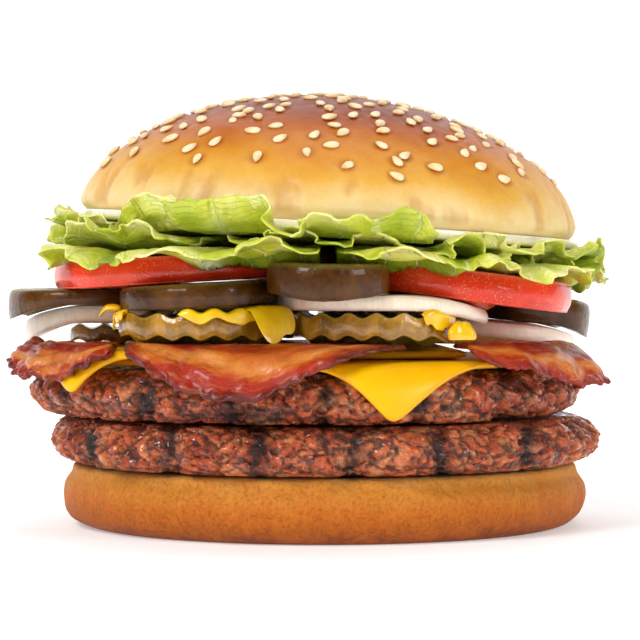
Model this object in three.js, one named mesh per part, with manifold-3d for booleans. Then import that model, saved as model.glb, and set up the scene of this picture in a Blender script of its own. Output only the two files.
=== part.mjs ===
// Double cheeseburger with bacon, pickles, onion, jalapeno, tomato, lettuce and mayonnaise in a sesame bun.
// Millimetres, +X to the right, +Y to the back, +Z up. The origin is the middle of the bun's flat base.
import * as THREE from 'three';
import { mergeVertices } from 'three/addons/utils/BufferGeometryUtils.js';
import Module from 'manifold-3d';

const wasm = await Module();
wasm.setup();

const degree = Math.PI / 180;
const gap = 0.3; // clear space between pieces that touch

// Every z below is the height of a piece's middle above the table.
// Buns, and the mayonnaise under the crown
const heel = { radius: 55.5, foot: 50, height: 13.3, rim: 2.2, sides: 44 };
const crown = { x: 0.6, z: 63.6, radius: 53.4, height: 28, taper: 1.1, lip: 3, lean: 3.7, rows: 7, sides: 32 };
const sesame = { count: 225, every: 4, length: 3.3, width: 1.9, thickness: 1.1, spread: 0.93, sides: 5 };
const mayonnaise = { radius: 51.6, lobe: 3.2, thickness: 0.8, bead: 1.15, sides: 28 };

// Patties, from their flat underside up, with the marks of the grill's bars, which run from front to back
const patties = {
  patty_lower: { x: -0.5, z: 13.6, radius: 58.2, thickness: 9.8, bar: 5, seed: 1 },
  patty_upper: { x: -4, z: 23.8, radius: 58.2, thickness: 10.2, bar: 0, seed: 2 },
};
const grill = { pitch: 18, halfWidth: 1.9, depth: 1.5, longestStep: 10 * degree };
// A patty's edge from its top to its underside: share of the radius, share of the thickness
const pattyRim = [[0.6, 1], [0.91, 0.98], [0.972, 0.8], [1, 0.46], [0.97, 0.14], [0.88, 0]];

// Cheese slices lie on the upper patty and turn down past its shoulder
const cheese = { side: 84, thickness: 1.7, corner: 30, spokes: 32, rings: [0.45, 0.76, 0.84, 0.92, 1] };
const cheeses = {
  cheese_lower: { x: 3.5, y: -9.5, z: 35.3, turn: 56.5, start: 55.2, bend: 6.2, most: 80 },
  cheese_upper: { x: -16.5, y: 0.5, z: 37.3, turn: 5, start: 54.5, bend: 8, most: 80 },
};

// Bacon strips follow a bow of three points over the cheese. The ends are shares of the width.
const bacon = {
  z: 39.05, thickness: 1.2, start: 54.5, bend: 9.75, most: 76, loose: 56, along: 14, across: 3,
};
const bacons = {
  bacon_left: {
    bow: [[-65, -9], [-56.5, -39.5], [-42.5, -41]], width: 15, ends: [0.45, 0.8], waves: 2.6, height: 0.7, seed: 1,
  },
  bacon_front: {
    bow: [[-34, -40], [-22, -77], [12, -43]], width: 20, ends: [0.75, 0.8], waves: 2.5, height: 1.3, seed: 2,
  },
  bacon_right: {
    bow: [[27.5, -44.5], [45, -38], [56, -19]], width: 18.5, ends: [0.75, 0.7], waves: 3.1, height: 1.2, seed: 3,
  },
  bacon_back: {
    bow: [[-46, 30], [-6, 70], [46, 30]], width: 20, ends: [0.9, 0.8], waves: 3.4, height: 1.3, seed: 4,
  },
};

// Round slices: right and front are how many degrees a slice falls to the right and to the viewer
const pickle = { wave: 0.5, pitch: 5.5, steps: 26 };
const pickles = {
  pickle_front_left: { x: -25, y: -33.9, z: 43.15, radius: 17.3, thickness: 4.6, turn: 6 },
  pickle_front_middle: {
    x: 10, y: -35, z: 43.15, radius: 17, thickness: 4.6, turn: -5,
    slump: { toward: 0, start: 7, drop: 1 },
  },
  pickle_left: {
    x: -44, y: 11, z: 40.45, radius: 12, thickness: 3.2, turn: 4,
    slump: { toward: 180, start: 6, drop: 0.3 },
  },
  pickle_back_left: { x: -20, y: 33, z: 43.15, radius: 17, thickness: 4.6, turn: 30 },
  pickle_back_right: { x: 14, y: 37, z: 43.15, radius: 16, thickness: 4.6, turn: -24 },
};
const onion = { edge: 0.05, sides: 20 };
const onions = {
  onion_left: {
    x: -44, y: 2, z: 45.25, radius: 21, thickness: 3.3, seed: 1,
    slump: { toward: 180, start: 4, drop: 5.6, top: 0.64 },
  },
  onion_right: {
    x: 34.5, y: -2, z: 41.9, radius: 19, thickness: 3.2, right: 5.5, seed: 2,
    slump: { toward: 0, start: 8, drop: 1.5 },
  },
  onion_front: {
    x: 11, y: -29, z: 47.9, radius: 22.5, thickness: 3, seed: 3,
    slump: { toward: 0, start: 4, drop: 3.5 },
  },
  onion_back: { x: -4, y: 30, z: 47.9, radius: 17, thickness: 3, seed: 4 },
};
const jalapeno = { hollow: 1.1, sides: 16 };
const jalapenos = {
  jalapeno_left: {
    x: -50, y: -12, z: 48.75, radius: 17, thickness: 3.1, seed: 1,
    slump: { toward: 185, start: 3, drop: 3.6, top: 0 },
  },
  jalapeno_front_left: { x: -25.5, y: -36, z: 49.4, radius: 15.7, thickness: 4.6, right: -3, seed: 2 },
  jalapeno_front_right: {
    x: 0.5, y: -47.5, z: 52.75, radius: 12.5, thickness: 6, right: 1, seed: 3,
    slump: { toward: -90, start: 5, drop: 1.6, top: 0.2 },
  },
  jalapeno_right: {
    x: 44, y: 19, z: 45.9, radius: 15, thickness: 6, right: 6, seed: 4,
    slump: { toward: 0, start: 5, drop: 2.5, top: 0.3 },
  },
  jalapeno_back_right: { x: 26.5, y: 40, z: 48.7, radius: 12.5, thickness: 4.6, seed: 5 },
  jalapeno_back_left: { x: -36, y: 36, z: 48.7, radius: 14, thickness: 4.6, seed: 6 },
};
const tomato = { edge: 0.06, sides: 30 };
const tomatoes = {
  tomato_left: { x: -28.8, y: -15.4, z: 54.7, radius: 28.3, thickness: 5.6, right: -3.5, seed: 1 },
  tomato_right: { x: 25.8, y: -18, z: 51.7, radius: 25.7, thickness: 6.2, right: 7.5, seed: 2 },
  tomato_back: { x: -1, y: 32, z: 54.4, radius: 26, thickness: 5.2, front: -1, seed: 3 },
};

// Mustard lies on the pickles and runs down past their rims
const mustard = { sides: 14 };
const mustards = {
  mustard_left: {
    x: -43.5, y: -36, z: 46.2, length: 2.2, width: 2.6, thickness: 1.4, seed: 1,
    slump: { toward: 180, start: 0.2, drop: 2 },
  },
  mustard_middle: {
    x: -12, y: -46, z: 46.35, length: 5, width: 4, thickness: 1, seed: 2,
    slump: { toward: -55, start: 1.2, drop: 4.4 },
  },
  mustard_right: { x: 27.2, y: -46, z: 40.5, length: 2.8, width: 2.5, thickness: 4, seed: 3 },
};

// Lettuce leaves lie in three tiers of five. Each leaf turns down or up past its edge radius, most in its
// tier's lobes: so many evenly round the burger, one of them at that angle.
// A tier falls by so much for each millimetre from the ridge to the left, to the right and to front or back.
const leaf = { thickness: 0.6, inner: 14, spread: 68, bend: 4.5, ridge: 8, columns: 7, rows: 4 };
const tiers = [
  {
    z: 60, first: -126, left: 0.055, right: 0.12, away: 0.015, fold: 0.6, lobes: 9, lobe: -57,
    edge: [64, 58, 56, 57, 60], reach: [67, 64, 62, 63, 61], turn: [-70, -60, -60, -60, -50],
  },
  {
    z: 60.9, first: -150, left: 0, right: 0.09, away: 0.008, fold: 1.1, lobes: 8, lobe: -89,
    edge: [56, 56, 56, 56, 56], reach: [60.5, 60.5, 58.5, 61, 60], turn: [30, 8, 12, 12, 30],
  },
  {
    z: 61.7, first: -102, left: -0.062, right: 0.066, away: 0, fold: 1.4, lobes: 7, lobe: -118,
    edge: [56, 56, 56, 56, 56], reach: [66, 59.5, 58.5, 62, 59], turn: [75, 70, 50, 70, 25],
  },
];

const looks = {
  crust: { color: '#d98a35', roughness: 0.5 },
  patty: { color: '#6e3524', roughness: 0.5 },
  cheese: { color: '#f8b818', roughness: 0.35 },
  bacon: { color: '#b5391f', roughness: 0.4 },
  pickle: { color: '#66691f', roughness: 0.3 },
  mustard: { color: '#f0be10', roughness: 0.3 },
  onion: { color: '#f0e2d8', roughness: 0.4 },
  jalapeno: { color: '#4c3a1c', roughness: 0.3 },
  tomato: { color: '#cc2d1a', roughness: 0.25 },
  lettuce: { color: '#93b52c', roughness: 0.45 },
  mayonnaise: { color: '#f6f0da', roughness: 0.25 },
};

// An even unevenness round a slice: a few sine waves, each shorter and lower than the last
function wobble(angle, seed, lowest = 2, highest = 5) {
  let sum = 0;
  for (let k = lowest; k <= highest; k++) {
    sum += Math.sin(k * angle + seed * k * k) / k;
  }
  return sum;
}

// The same number from 0 to 1 each time for the same pair
function draw(index, kind) {
  const value = Math.sin(index * 12.9898 + kind * 78.233) * 43758.5453;
  return value - Math.floor(value);
}

// A closed solid of rings of points, from the top ring to the bottom ring
function ringSolid(rings, top, bottom) {
  const sides = rings[0].length;
  const last = rings.length - 1;
  const points = [...rings.flat(), top, bottom];
  const faces = [];
  const at = (ring, side) => ring * sides + side % sides;
  for (let side = 0; side < sides; side++) {
    faces.push([points.length - 2, at(0, side), at(0, side + 1)]);
    for (let ring = 0; ring < last; ring++) {
      faces.push([at(ring, side), at(ring + 1, side), at(ring + 1, side + 1)]);
      faces.push([at(ring, side), at(ring + 1, side + 1), at(ring, side + 1)]);
    }
    faces.push([points.length - 1, at(last, side + 1), at(last, side)]);
  }
  return { points, faces };
}

// The net of a strip: columns run along u and rows along v, both from 0 to 1
function stripNet(columns, rows) {
  const net = { places: [], faces: [], border: [] };
  const at = (column, row) => column * (rows + 1) + row;
  for (let column = 0; column <= columns; column++) {
    for (let row = 0; row <= rows; row++) {
      net.places.push([column / columns, row / rows]);
      if (column < columns && row < rows) {
        net.faces.push([at(column, row), at(column + 1, row), at(column + 1, row + 1)]);
        net.faces.push([at(column, row), at(column + 1, row + 1), at(column, row + 1)]);
      }
    }
  }
  for (let column = 0; column < columns; column++) net.border.push(at(column, 0));
  for (let row = 0; row < rows; row++) net.border.push(at(columns, row));
  for (let column = columns; column > 0; column--) net.border.push(at(column, rows));
  for (let row = rows; row > 0; row--) net.border.push(at(0, row));
  return net;
}

// The net of a disc: places are the share of the radius and the angle
function discNet(rings, spokes) {
  const net = { places: [[0, 0]], faces: [], border: [] };
  const at = (ring, spoke) => 1 + ring * spokes + spoke % spokes;
  rings.forEach((share, ring) => {
    for (let spoke = 0; spoke < spokes; spoke++) {
      net.places.push([share, spoke / spokes * 360 * degree]);
      if (ring === 0) {
        net.faces.push([0, at(0, spoke), at(0, spoke + 1)]);
      } else {
        net.faces.push([at(ring - 1, spoke), at(ring, spoke), at(ring, spoke + 1)]);
        net.faces.push([at(ring - 1, spoke), at(ring, spoke + 1), at(ring - 1, spoke + 1)]);
      }
    }
  });
  for (let spoke = 0; spoke < spokes; spoke++) net.border.push(at(rings.length - 1, spoke));
  return net;
}

// A thin solid over a net: point gives its upper and its lower face, which are split alike
function netSolid(net, point) {
  const half = net.places.length;
  const points = [1, -1].flatMap((side) => net.places.map(([u, v]) => point(u, v, side)));
  const faces = net.faces.flatMap(([a, b, c]) => [[a, b, c], [a + half, c + half, b + half]]);
  net.border.forEach((here, index) => {
    const next = net.border[(index + 1) % net.border.length];
    faces.push([here, here + half, next + half]);
    faces.push([here, next + half, next]);
  });
  return { points, faces };
}

// A point half a thickness off a surface, along the surface's own normal there
function offSurface(surface, thickness) {
  const step = 1e-4;
  return (u, v, side) => {
    const here = surface(u, v);
    const alongU = surface(u + step, v).sub(surface(u - step, v));
    const alongV = surface(u, v + step).sub(surface(u, v - step));
    return here.addScaledVector(alongU.cross(alongV).normalize(), side * thickness / 2);
  };
}

// Lays a point of a flat sheet, some height off it, over the upper patty: past start it turns down round a bend
function drape(x, y, height, { start, bend, most }) {
  const away = new THREE.Vector2(x - patties.patty_upper.x, y);
  const run = away.length();
  const past = Math.max(0, run - start);
  const turn = Math.min(past / bend, most * degree);
  const rest = past - turn * bend;
  const radius = Math.min(run, start) + (bend + height) * Math.sin(turn) + rest * Math.cos(turn);
  const drop = bend - (bend + height) * Math.cos(turn) + rest * Math.sin(turn);
  away.normalize().multiplyScalar(radius);
  return new THREE.Vector3(away.x + patties.patty_upper.x, away.y, -drop);
}

// A slice's sag towards one side: it starts that far from the middle and is full at the radius.
// Its upper face may sag by a share of that only. The rise goes from -0.5 at the bottom to 0.5 at the top.
function sag(x, y, radius, slump, rise = 0) {
  if (!slump) return 0;
  const { toward, start, drop, top = 1 } = slump;
  const along = x * Math.cos(toward * degree) + y * Math.sin(toward * degree);
  return drop * (1 - (1 - top) * (rise + 0.5)) * Math.max(0, (along - start) / (radius - start)) ** 2;
}

function heelSolid() {
  const { radius, foot, height, rim, sides } = heel;
  const profile = [[radius - 1.6 - rim, height], [radius - 1.6, height - rim], [radius, height / 2]];
  for (const turn of [60, 25]) {
    const along = turn * degree;
    profile.push([foot + (radius - foot) * Math.sin(along), (radius - foot) * (1 - Math.cos(along))]);
  }
  profile.push([foot, 0]);
  const rings = profile.map(([ringRadius, z]) => Array.from({ length: sides }, (_, side) => {
    const angle = side / sides * 360 * degree;
    const r = ringRadius + (z > 0 ? 0.5 * wobble(angle, 1.7) : 0);
    return new THREE.Vector3(r * Math.cos(angle), r * Math.sin(angle), z);
  }));
  return ringSolid(rings, new THREE.Vector3(0, 0, height), new THREE.Vector3(0, 0, 0));
}

// The angles at which a patty is cut: both sides and the middle of each bar mark, and even steps between
function pattyAngles({ x, radius, bar }) {
  const angles = [];
  for (let line = -4; line <= 4; line++) {
    for (const side of [-1, 0, 1]) {
      const offset = (bar + line * grill.pitch + side * grill.halfWidth - x) / radius;
      if (Math.abs(bar + line * grill.pitch - x) < 0.94 * radius) {
        const mark = side === 0;
        angles.push({ angle: Math.acos(offset), mark }, { angle: -Math.acos(offset), mark });
      }
    }
  }
  angles.sort((a, b) => a.angle - b.angle);
  return angles.flatMap((here, index) => {
    const next = index + 1 < angles.length ? angles[index + 1].angle : angles[0].angle + 360 * degree;
    const parts = Math.ceil((next - here.angle) / grill.longestStep);
    const between = Array.from({ length: parts - 1 }, (_, part) => (
      { angle: here.angle + (part + 1) / parts * (next - here.angle), mark: false }));
    return [here, ...between];
  });
}

function pattySolid(patty) {
  const angles = pattyAngles(patty);
  const rings = pattyRim.map(([share, rise], ring) => angles.map(({ angle, mark }, side) => {
    const outer = share > 0.9 ? 1 : 0;
    const crag = outer * (1.3 * (draw(side + 97 * patty.seed, ring) - 0.5) - (mark ? grill.depth : 0));
    const r = share * patty.radius + 0.9 * wobble(angle, patty.seed, 3, 9) + crag;
    const inner = rise > 0 && rise < 1 ? 0.7 * (draw(side + 53 * patty.seed, ring + 9) - 0.6) : 0;
    return new THREE.Vector3(r * Math.cos(angle), r * Math.sin(angle), rise * patty.thickness + inner);
  }));
  return ringSolid(rings, new THREE.Vector3(0, 0, patty.thickness), new THREE.Vector3(0, 0, 0));
}

function cheeseSolid(slice) {
  const surface = (share, angle) => {
    const c = Math.cos(angle);
    const s = Math.sin(angle);
    const p = cheese.corner;
    const reach = share * cheese.side / 2 / (Math.abs(c) ** p + Math.abs(s) ** p) ** (1 / p);
    const turned = angle + slice.turn * degree;
    return drape(slice.x + reach * Math.cos(turned), slice.y + reach * Math.sin(turned), 0, slice);
  };
  const point = (share, angle, side) => {
    const steady = Math.max(share, 0.01);
    return offSurface(surface, cheese.thickness)(steady, angle, side);
  };
  return netSolid(discNet(cheese.rings, cheese.spokes), point);
}

function baconSolid({ bow: [start, middle, end], width, ends, waves, height, seed }) {
  const surface = (u, v) => {
    const at = (axis) => (1 - u) ** 2 * start[axis] + 2 * u * (1 - u) * middle[axis] + u ** 2 * end[axis];
    const slope = (axis) => (1 - u) * (middle[axis] - start[axis]) + u * (end[axis] - middle[axis]);
    const across = new THREE.Vector2(-slope(1), slope(0)).normalize();
    const side = 2 * v - 1;
    const ragged = 1 + 0.08 * wobble(360 * degree * u, seed + (side > 0 ? 2 : 0), 2, 4);
    const share = 1 - (1 - ends[0]) * (1 - u) ** 3 - (1 - ends[1]) * u ** 3;
    const reach = side * width / 2 * share * ragged;
    const x = at(0) + across.x * reach;
    const y = at(1) + across.y * reach;
    const loose = Math.min(1, Math.max(0.1, (Math.hypot(x, y) - bacon.loose) / 12));
    const phase = 360 * degree * waves * u + seed + 0.5 * side;
    return drape(x, y, loose * (height * (1 + Math.sin(phase)) + 0.5 * side * Math.cos(phase / 2)), bacon);
  };
  return netSolid(stripNet(bacon.along, bacon.across), offSurface(surface, bacon.thickness));
}

// A crinkle-cut slice: both faces carry the same straight waves, which run along the slice's own Y
function pickleSolid({ radius, thickness, turn, slump }) {
  const net = stripNet(pickle.steps, 1);
  return netSolid(net, (u, v, side) => {
    const across = 0.985 * (2 * u - 1) * radius;
    const along = (2 * v - 1) * Math.sqrt(radius ** 2 - across ** 2);
    const wave = pickle.wave * Math.sin(across / pickle.pitch * 360 * degree);
    const z = side * thickness / 2 + wave - sag(across * Math.cos(turn * degree), 0, radius, slump);
    return new THREE.Vector3(across, along, z).applyAxisAngle(new THREE.Vector3(0, 0, 1), turn * degree);
  });
}

// A round slice from a profile of shares of its radius and of its thickness
function sliceSolid(profile, { radius, thickness, seed, slump }, sides, uneven) {
  const place = (share, rise, angle) => {
    const r = share * radius * (1 + uneven * wobble(angle, seed));
    const x = r * Math.cos(angle);
    const y = r * Math.sin(angle);
    return new THREE.Vector3(x, y, rise * thickness - sag(x, y, radius, slump, rise));
  };
  const rings = profile.map(([share, rise]) => Array.from({ length: sides }, (_, side) => (
    place(share, rise, side / sides * 360 * degree))));
  return ringSolid(rings, place(0, profile[0][1], 0), place(0, profile[profile.length - 1][1], 0));
}

function onionSolid(slice) {
  const edge = 1 - onion.edge;
  const profile = [[0.6, 0.5], [edge, 0.5], [1, 0], [edge, -0.5], [0.8, -0.5], [0.6, -0.5]];
  return sliceSolid(profile, slice, onion.sides, 0.02);
}

function jalapenoSolid(slice) {
  const floor = 0.5 - jalapeno.hollow / slice.thickness;
  const profile = [[0.6, floor], [0.76, 0.5], [0.95, 0.42], [1, -0.1], [0.96, -0.5]];
  if (slice.slump) profile.push([0.6, -0.5]);
  return sliceSolid(profile, slice, jalapeno.sides, 0.03);
}

function tomatoSolid(slice) {
  const profile = [[1 - tomato.edge, 0.5], [0.99, 0.32], [1, -0.2], [1 - tomato.edge, -0.5]];
  return sliceSolid(profile, slice, tomato.sides, 0.018);
}

function mustardSolid({ length, width, thickness, slump, seed }) {
  const profile = [[0.55, 1], [0.9, 0.8], [1, 0.4], [0.9, 0]];
  const place = (share, rise, angle) => {
    const r = share * (1 + 0.2 * wobble(angle, seed));
    const x = length * r * Math.cos(angle);
    const y = width * r * Math.sin(angle);
    return new THREE.Vector3(x, y, rise * thickness - sag(x, y, width, slump));
  };
  const rings = profile.map(([share, rise]) => Array.from({ length: mustard.sides }, (_, side) => (
    place(share, rise, side / mustard.sides * 360 * degree))));
  return ringSolid(rings, place(0, 1, 0), place(0, 0, 0));
}

// A leaf is a sector of the tier: flat inside, folded more and more outwards, turned up or down past its edge
function leafSolid({ middle, left, right, away, fold, lobes, lobe, edge, reach, turn, seed }) {
  const surface = (u, v) => {
    const side = 2 * v - 1;
    const angle = (middle + side * leaf.spread / 2) * degree;
    const outer = reach * (1 - 0.05 * side ** 2) + 1.2 * wobble(2 * angle, seed, 2, 4);
    const share = 1 - (1 - u) * Math.abs(1 - u) ** 0.6;
    const run = leaf.inner + (outer - leaf.inner) * share;
    const past = Math.max(0, run - edge);
    const most = Math.abs(turn) * degree * (0.55 + 0.45 * Math.cos(lobes * (angle - lobe * degree)));
    const bent = Math.min(past / leaf.bend, most);
    const rest = past - bent * leaf.bend;
    const radius = Math.min(run, edge) + leaf.bend * Math.sin(bent) + rest * Math.cos(bent);
    const rise = Math.sign(turn) * (leaf.bend * (1 - Math.cos(bent)) + rest * Math.sin(bent));
    const ruffle = Math.max(0, (run - 50) / 10) ** 2 * Math.sin(360 * degree * 1.25 * side + seed * 2);
    const x = radius * Math.cos(angle);
    const y = radius * Math.sin(angle);
    const off = (distance) => Math.hypot(distance, leaf.ridge) - leaf.ridge;
    const fall = (left + right) / 2 * off(x) + (right - left) / 2 * x + away * off(y);
    return new THREE.Vector3(x, y, rise + fold * ruffle - fall);
  };
  return netSolid(stripNet(leaf.rows, leaf.columns), offSurface(surface, leaf.thickness));
}

function mayonnaiseSolid() {
  const { radius, lobe, thickness, bead, sides } = mayonnaise;
  const inside = [[0.9, 0, 0], [0.965, 0, 0.1]];
  const outside = [[1, 0.75, 0.5 * bead], [1, 1, -0.1 * bead], [0.965, 0.4, -thickness], [0.9, 0, -thickness]];
  const profile = [...inside, ...outside];
  const rings = profile.map(([share, swell, z]) => Array.from({ length: sides }, (_, side) => {
    const angle = side / sides * 360 * degree;
    const r = share * radius + swell * (0.4 * lobe + lobe * 0.55 * wobble(angle, 2.3, 3, 8));
    return new THREE.Vector3(r * Math.cos(angle), r * Math.sin(angle), z);
  }));
  return ringSolid(rings, new THREE.Vector3(0, 0, 0), new THREE.Vector3(0, 0, -thickness));
}

// The crown's skin: a dome whose height falls as a quarter ellipse, with a slight unevenness.
// The taper, a power of the sine, makes it slimmer towards the top.
function crownPoint(polar, angle) {
  const r = crown.radius * Math.sin(polar) ** crown.taper * (1 + 0.006 * wobble(angle, 0.8));
  return new THREE.Vector3(r * Math.cos(angle), r * Math.sin(angle), crown.height * Math.cos(polar));
}

function crownSolid() {
  const angles = Array.from({ length: crown.sides }, (_, side) => side / crown.sides * 360 * degree);
  const lowest = Math.acos(crown.lip / crown.height);
  const rings = [];
  for (let row = 1; row <= crown.rows; row++) {
    rings.push(angles.map((angle) => crownPoint(row / crown.rows * lowest, angle)));
  }
  const lip = (inset, z) => angles.map((angle) => {
    const r = crown.radius - inset;
    return new THREE.Vector3(r * Math.cos(angle), r * Math.sin(angle), z);
  });
  rings.push(lip(0.9, 0.3 * crown.lip), lip(crown.lip, 0));
  return ringSolid(rings, crownPoint(0, 0), new THREE.Vector3(0, 0, 0));
}

// A sesame seed lying on the crown: a flat drop with its point along the slope or turned from it
function seedSolid(index) {
  const share = Math.sqrt((index + 0.5) / sesame.count);
  const polar = Math.asin(sesame.spread * share) + 0.03 * (draw(index, 1) - 0.5);
  const angle = index * 137.508 * degree + 0.25 * (draw(index, 2) - 0.5);
  const middle = crownPoint(polar, angle);
  const east = crownPoint(polar, angle + 0.01).sub(crownPoint(polar, angle - 0.01)).normalize();
  const south = crownPoint(polar + 0.01, angle).sub(crownPoint(polar - 0.01, angle)).normalize();
  const out = south.clone().cross(east).normalize();
  const heading = 360 * degree * draw(index, 3);
  const along = south.clone().multiplyScalar(Math.cos(heading)).addScaledVector(east, Math.sin(heading));
  const aside = out.clone().cross(along);
  const size = 0.85 + 0.3 * draw(index, 4);
  const place = (x, y, z) => middle.clone()
    .addScaledVector(along, x * size * sesame.length / 2)
    .addScaledVector(aside, y * size * sesame.width / 2 * (1 - 0.35 * x))
    .addScaledVector(out, (z + 0.2) * size * sesame.thickness / 2);
  const ring = (share2, z) => Array.from({ length: sesame.sides }, (_, side) => {
    const turn = side / sesame.sides * 360 * degree;
    return place(share2 * Math.cos(turn), share2 * Math.sin(turn), z);
  });
  return ringSolid([ring(0.72, 0.7), ring(1.05, -1)], place(0, 0, 1), place(0, 0, -1.2));
}

function toGeometry({ points, faces }) {
  const geometry = new THREE.BufferGeometry();
  const places = points.flatMap((p) => p.toArray());
  geometry.setAttribute('position', new THREE.Float32BufferAttribute(places, 3));
  geometry.setIndex(faces.flat());
  return geometry;
}

function toManifold(solid) {
  const geometry = mergeVertices(toGeometry(solid));
  const triVerts = new Uint32Array(geometry.index.array);
  const vertProperties = geometry.attributes.position.array;
  return new wasm.Manifold(new wasm.Mesh({ numProp: 3, vertProperties, triVerts }));
}

// The crown with its seeds joined on
function seededCrown() {
  let joined = toManifold(crownSolid());
  for (let index = 0; index < sesame.count; index += sesame.every) {
    joined = joined.add(toManifold(seedSolid(index)));
  }
  const { vertProperties, triVerts } = joined.getMesh();
  const geometry = new THREE.BufferGeometry();
  geometry.setAttribute('position', new THREE.BufferAttribute(vertProperties, 3));
  geometry.setIndex(new THREE.BufferAttribute(triVerts, 1));
  return geometry;
}

const burger = new THREE.Group();

function lay(name, geometry, look, { x = 0, y = 0, z = 0, right = 0, front = 0 } = {}) {
  const mesh = new THREE.Mesh(geometry, new THREE.MeshStandardMaterial({ metalness: 0, ...looks[look] }));
  mesh.name = name;
  mesh.position.set(x, y, z);
  mesh.rotation.set(front * degree, right * degree, 0);
  burger.add(mesh);
}

// Makes each piece of a kind in its own frame and lays it at its place
function layAll(pieces, solid, look) {
  for (const [name, piece] of Object.entries(pieces)) {
    lay(name, toGeometry(solid(piece)), look, piece);
  }
}

lay('bun_heel', toGeometry(heelSolid()), 'crust');
layAll(patties, pattySolid, 'patty');
for (const [name, slice] of Object.entries(cheeses)) {
  lay(name, toGeometry(cheeseSolid(slice)), 'cheese', { z: slice.z });
}
for (const [name, strip] of Object.entries(bacons)) {
  lay(name, toGeometry(baconSolid(strip)), 'bacon', { z: bacon.z });
}
layAll(pickles, pickleSolid, 'pickle');
layAll(mustards, mustardSolid, 'mustard');
layAll(onions, onionSolid, 'onion');
layAll(jalapenos, jalapenoSolid, 'jalapeno');
layAll(tomatoes, tomatoSolid, 'tomato');
tiers.forEach((tier, level) => {
  for (let index = 0; index < 5; index++) {
    const number = 5 * level + index + 1;
    const leafShape = {
      ...tier, middle: tier.first + 72 * index, edge: tier.edge[index], reach: tier.reach[index],
      turn: tier.turn[index], seed: number,
    };
    const name = `lettuce_${String(number).padStart(2, '0')}`;
    lay(name, toGeometry(leafSolid(leafShape)), 'lettuce', { x: crown.x, z: tier.z });
  }
});
const lid = { x: crown.x, z: crown.z, right: crown.lean };
lay('mayonnaise', toGeometry(mayonnaiseSolid()), 'mayonnaise', { ...lid, z: crown.z - gap });
lay('bun_crown', seededCrown(), 'crust', lid);

export default burger;
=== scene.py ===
import math

import bpy
import numpy as np
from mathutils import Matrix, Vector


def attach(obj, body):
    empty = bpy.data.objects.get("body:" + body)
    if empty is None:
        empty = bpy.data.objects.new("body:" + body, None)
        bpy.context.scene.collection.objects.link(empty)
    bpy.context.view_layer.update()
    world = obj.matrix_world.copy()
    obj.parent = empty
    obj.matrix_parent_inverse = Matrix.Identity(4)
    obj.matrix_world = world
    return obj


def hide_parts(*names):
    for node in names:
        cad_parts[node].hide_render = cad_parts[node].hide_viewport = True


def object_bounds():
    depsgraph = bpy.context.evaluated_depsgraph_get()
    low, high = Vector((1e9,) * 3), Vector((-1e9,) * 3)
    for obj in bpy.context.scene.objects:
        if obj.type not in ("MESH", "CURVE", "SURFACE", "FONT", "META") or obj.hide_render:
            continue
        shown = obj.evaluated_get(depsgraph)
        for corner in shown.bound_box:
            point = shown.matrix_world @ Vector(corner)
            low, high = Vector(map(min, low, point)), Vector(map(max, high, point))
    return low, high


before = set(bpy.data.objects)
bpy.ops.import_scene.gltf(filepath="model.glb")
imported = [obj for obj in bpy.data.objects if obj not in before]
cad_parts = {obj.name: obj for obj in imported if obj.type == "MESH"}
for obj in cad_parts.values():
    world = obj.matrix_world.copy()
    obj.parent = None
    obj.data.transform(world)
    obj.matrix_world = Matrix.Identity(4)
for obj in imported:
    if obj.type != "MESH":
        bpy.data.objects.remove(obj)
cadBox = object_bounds()
mm = 0.001  # lengths below are in millimetres, as in the part's source
degree = math.pi / 180
fullTurn = 2 * math.pi
print("frame loaded:", len(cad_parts), "nodes")


# Short names for the skin shader's less used inputs
socketNames = {"specular": "Specular IOR Level", "coat": "Coat Weight", "coatRoughness": "Coat Roughness",
               "soft": "Subsurface Weight", "softReach": "Subsurface Radius", "softScale": "Subsurface Scale"}


# Shader nodes. A Reading is one output; sums on it add Math nodes.
class Reading:
    def __init__(self, finish, socket):
        self.finish = finish
        self.socket = socket

    def math(self, operation, first, second):
        return self.finish.node("ShaderNodeMath", {"operation": operation}, {0: first, 1: second})

    def __add__(self, other):
        return self.math("ADD", self, other)

    def __sub__(self, other):
        return self.math("SUBTRACT", self, other)

    def __rsub__(self, other):
        return self.math("SUBTRACT", other, self)

    def __mul__(self, other):
        return self.math("MULTIPLY", self, other)

    __radd__ = __add__
    __rmul__ = __mul__


def tone(code):
    # sRGB hex code to linear colour
    parts = [int(code[i:i + 2], 16) / 255 for i in (0, 2, 4)]
    return [c / 12.92 if c < 0.04 else ((c + 0.055) / 1.055) ** 2.4 for c in parts] + [1]


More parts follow.
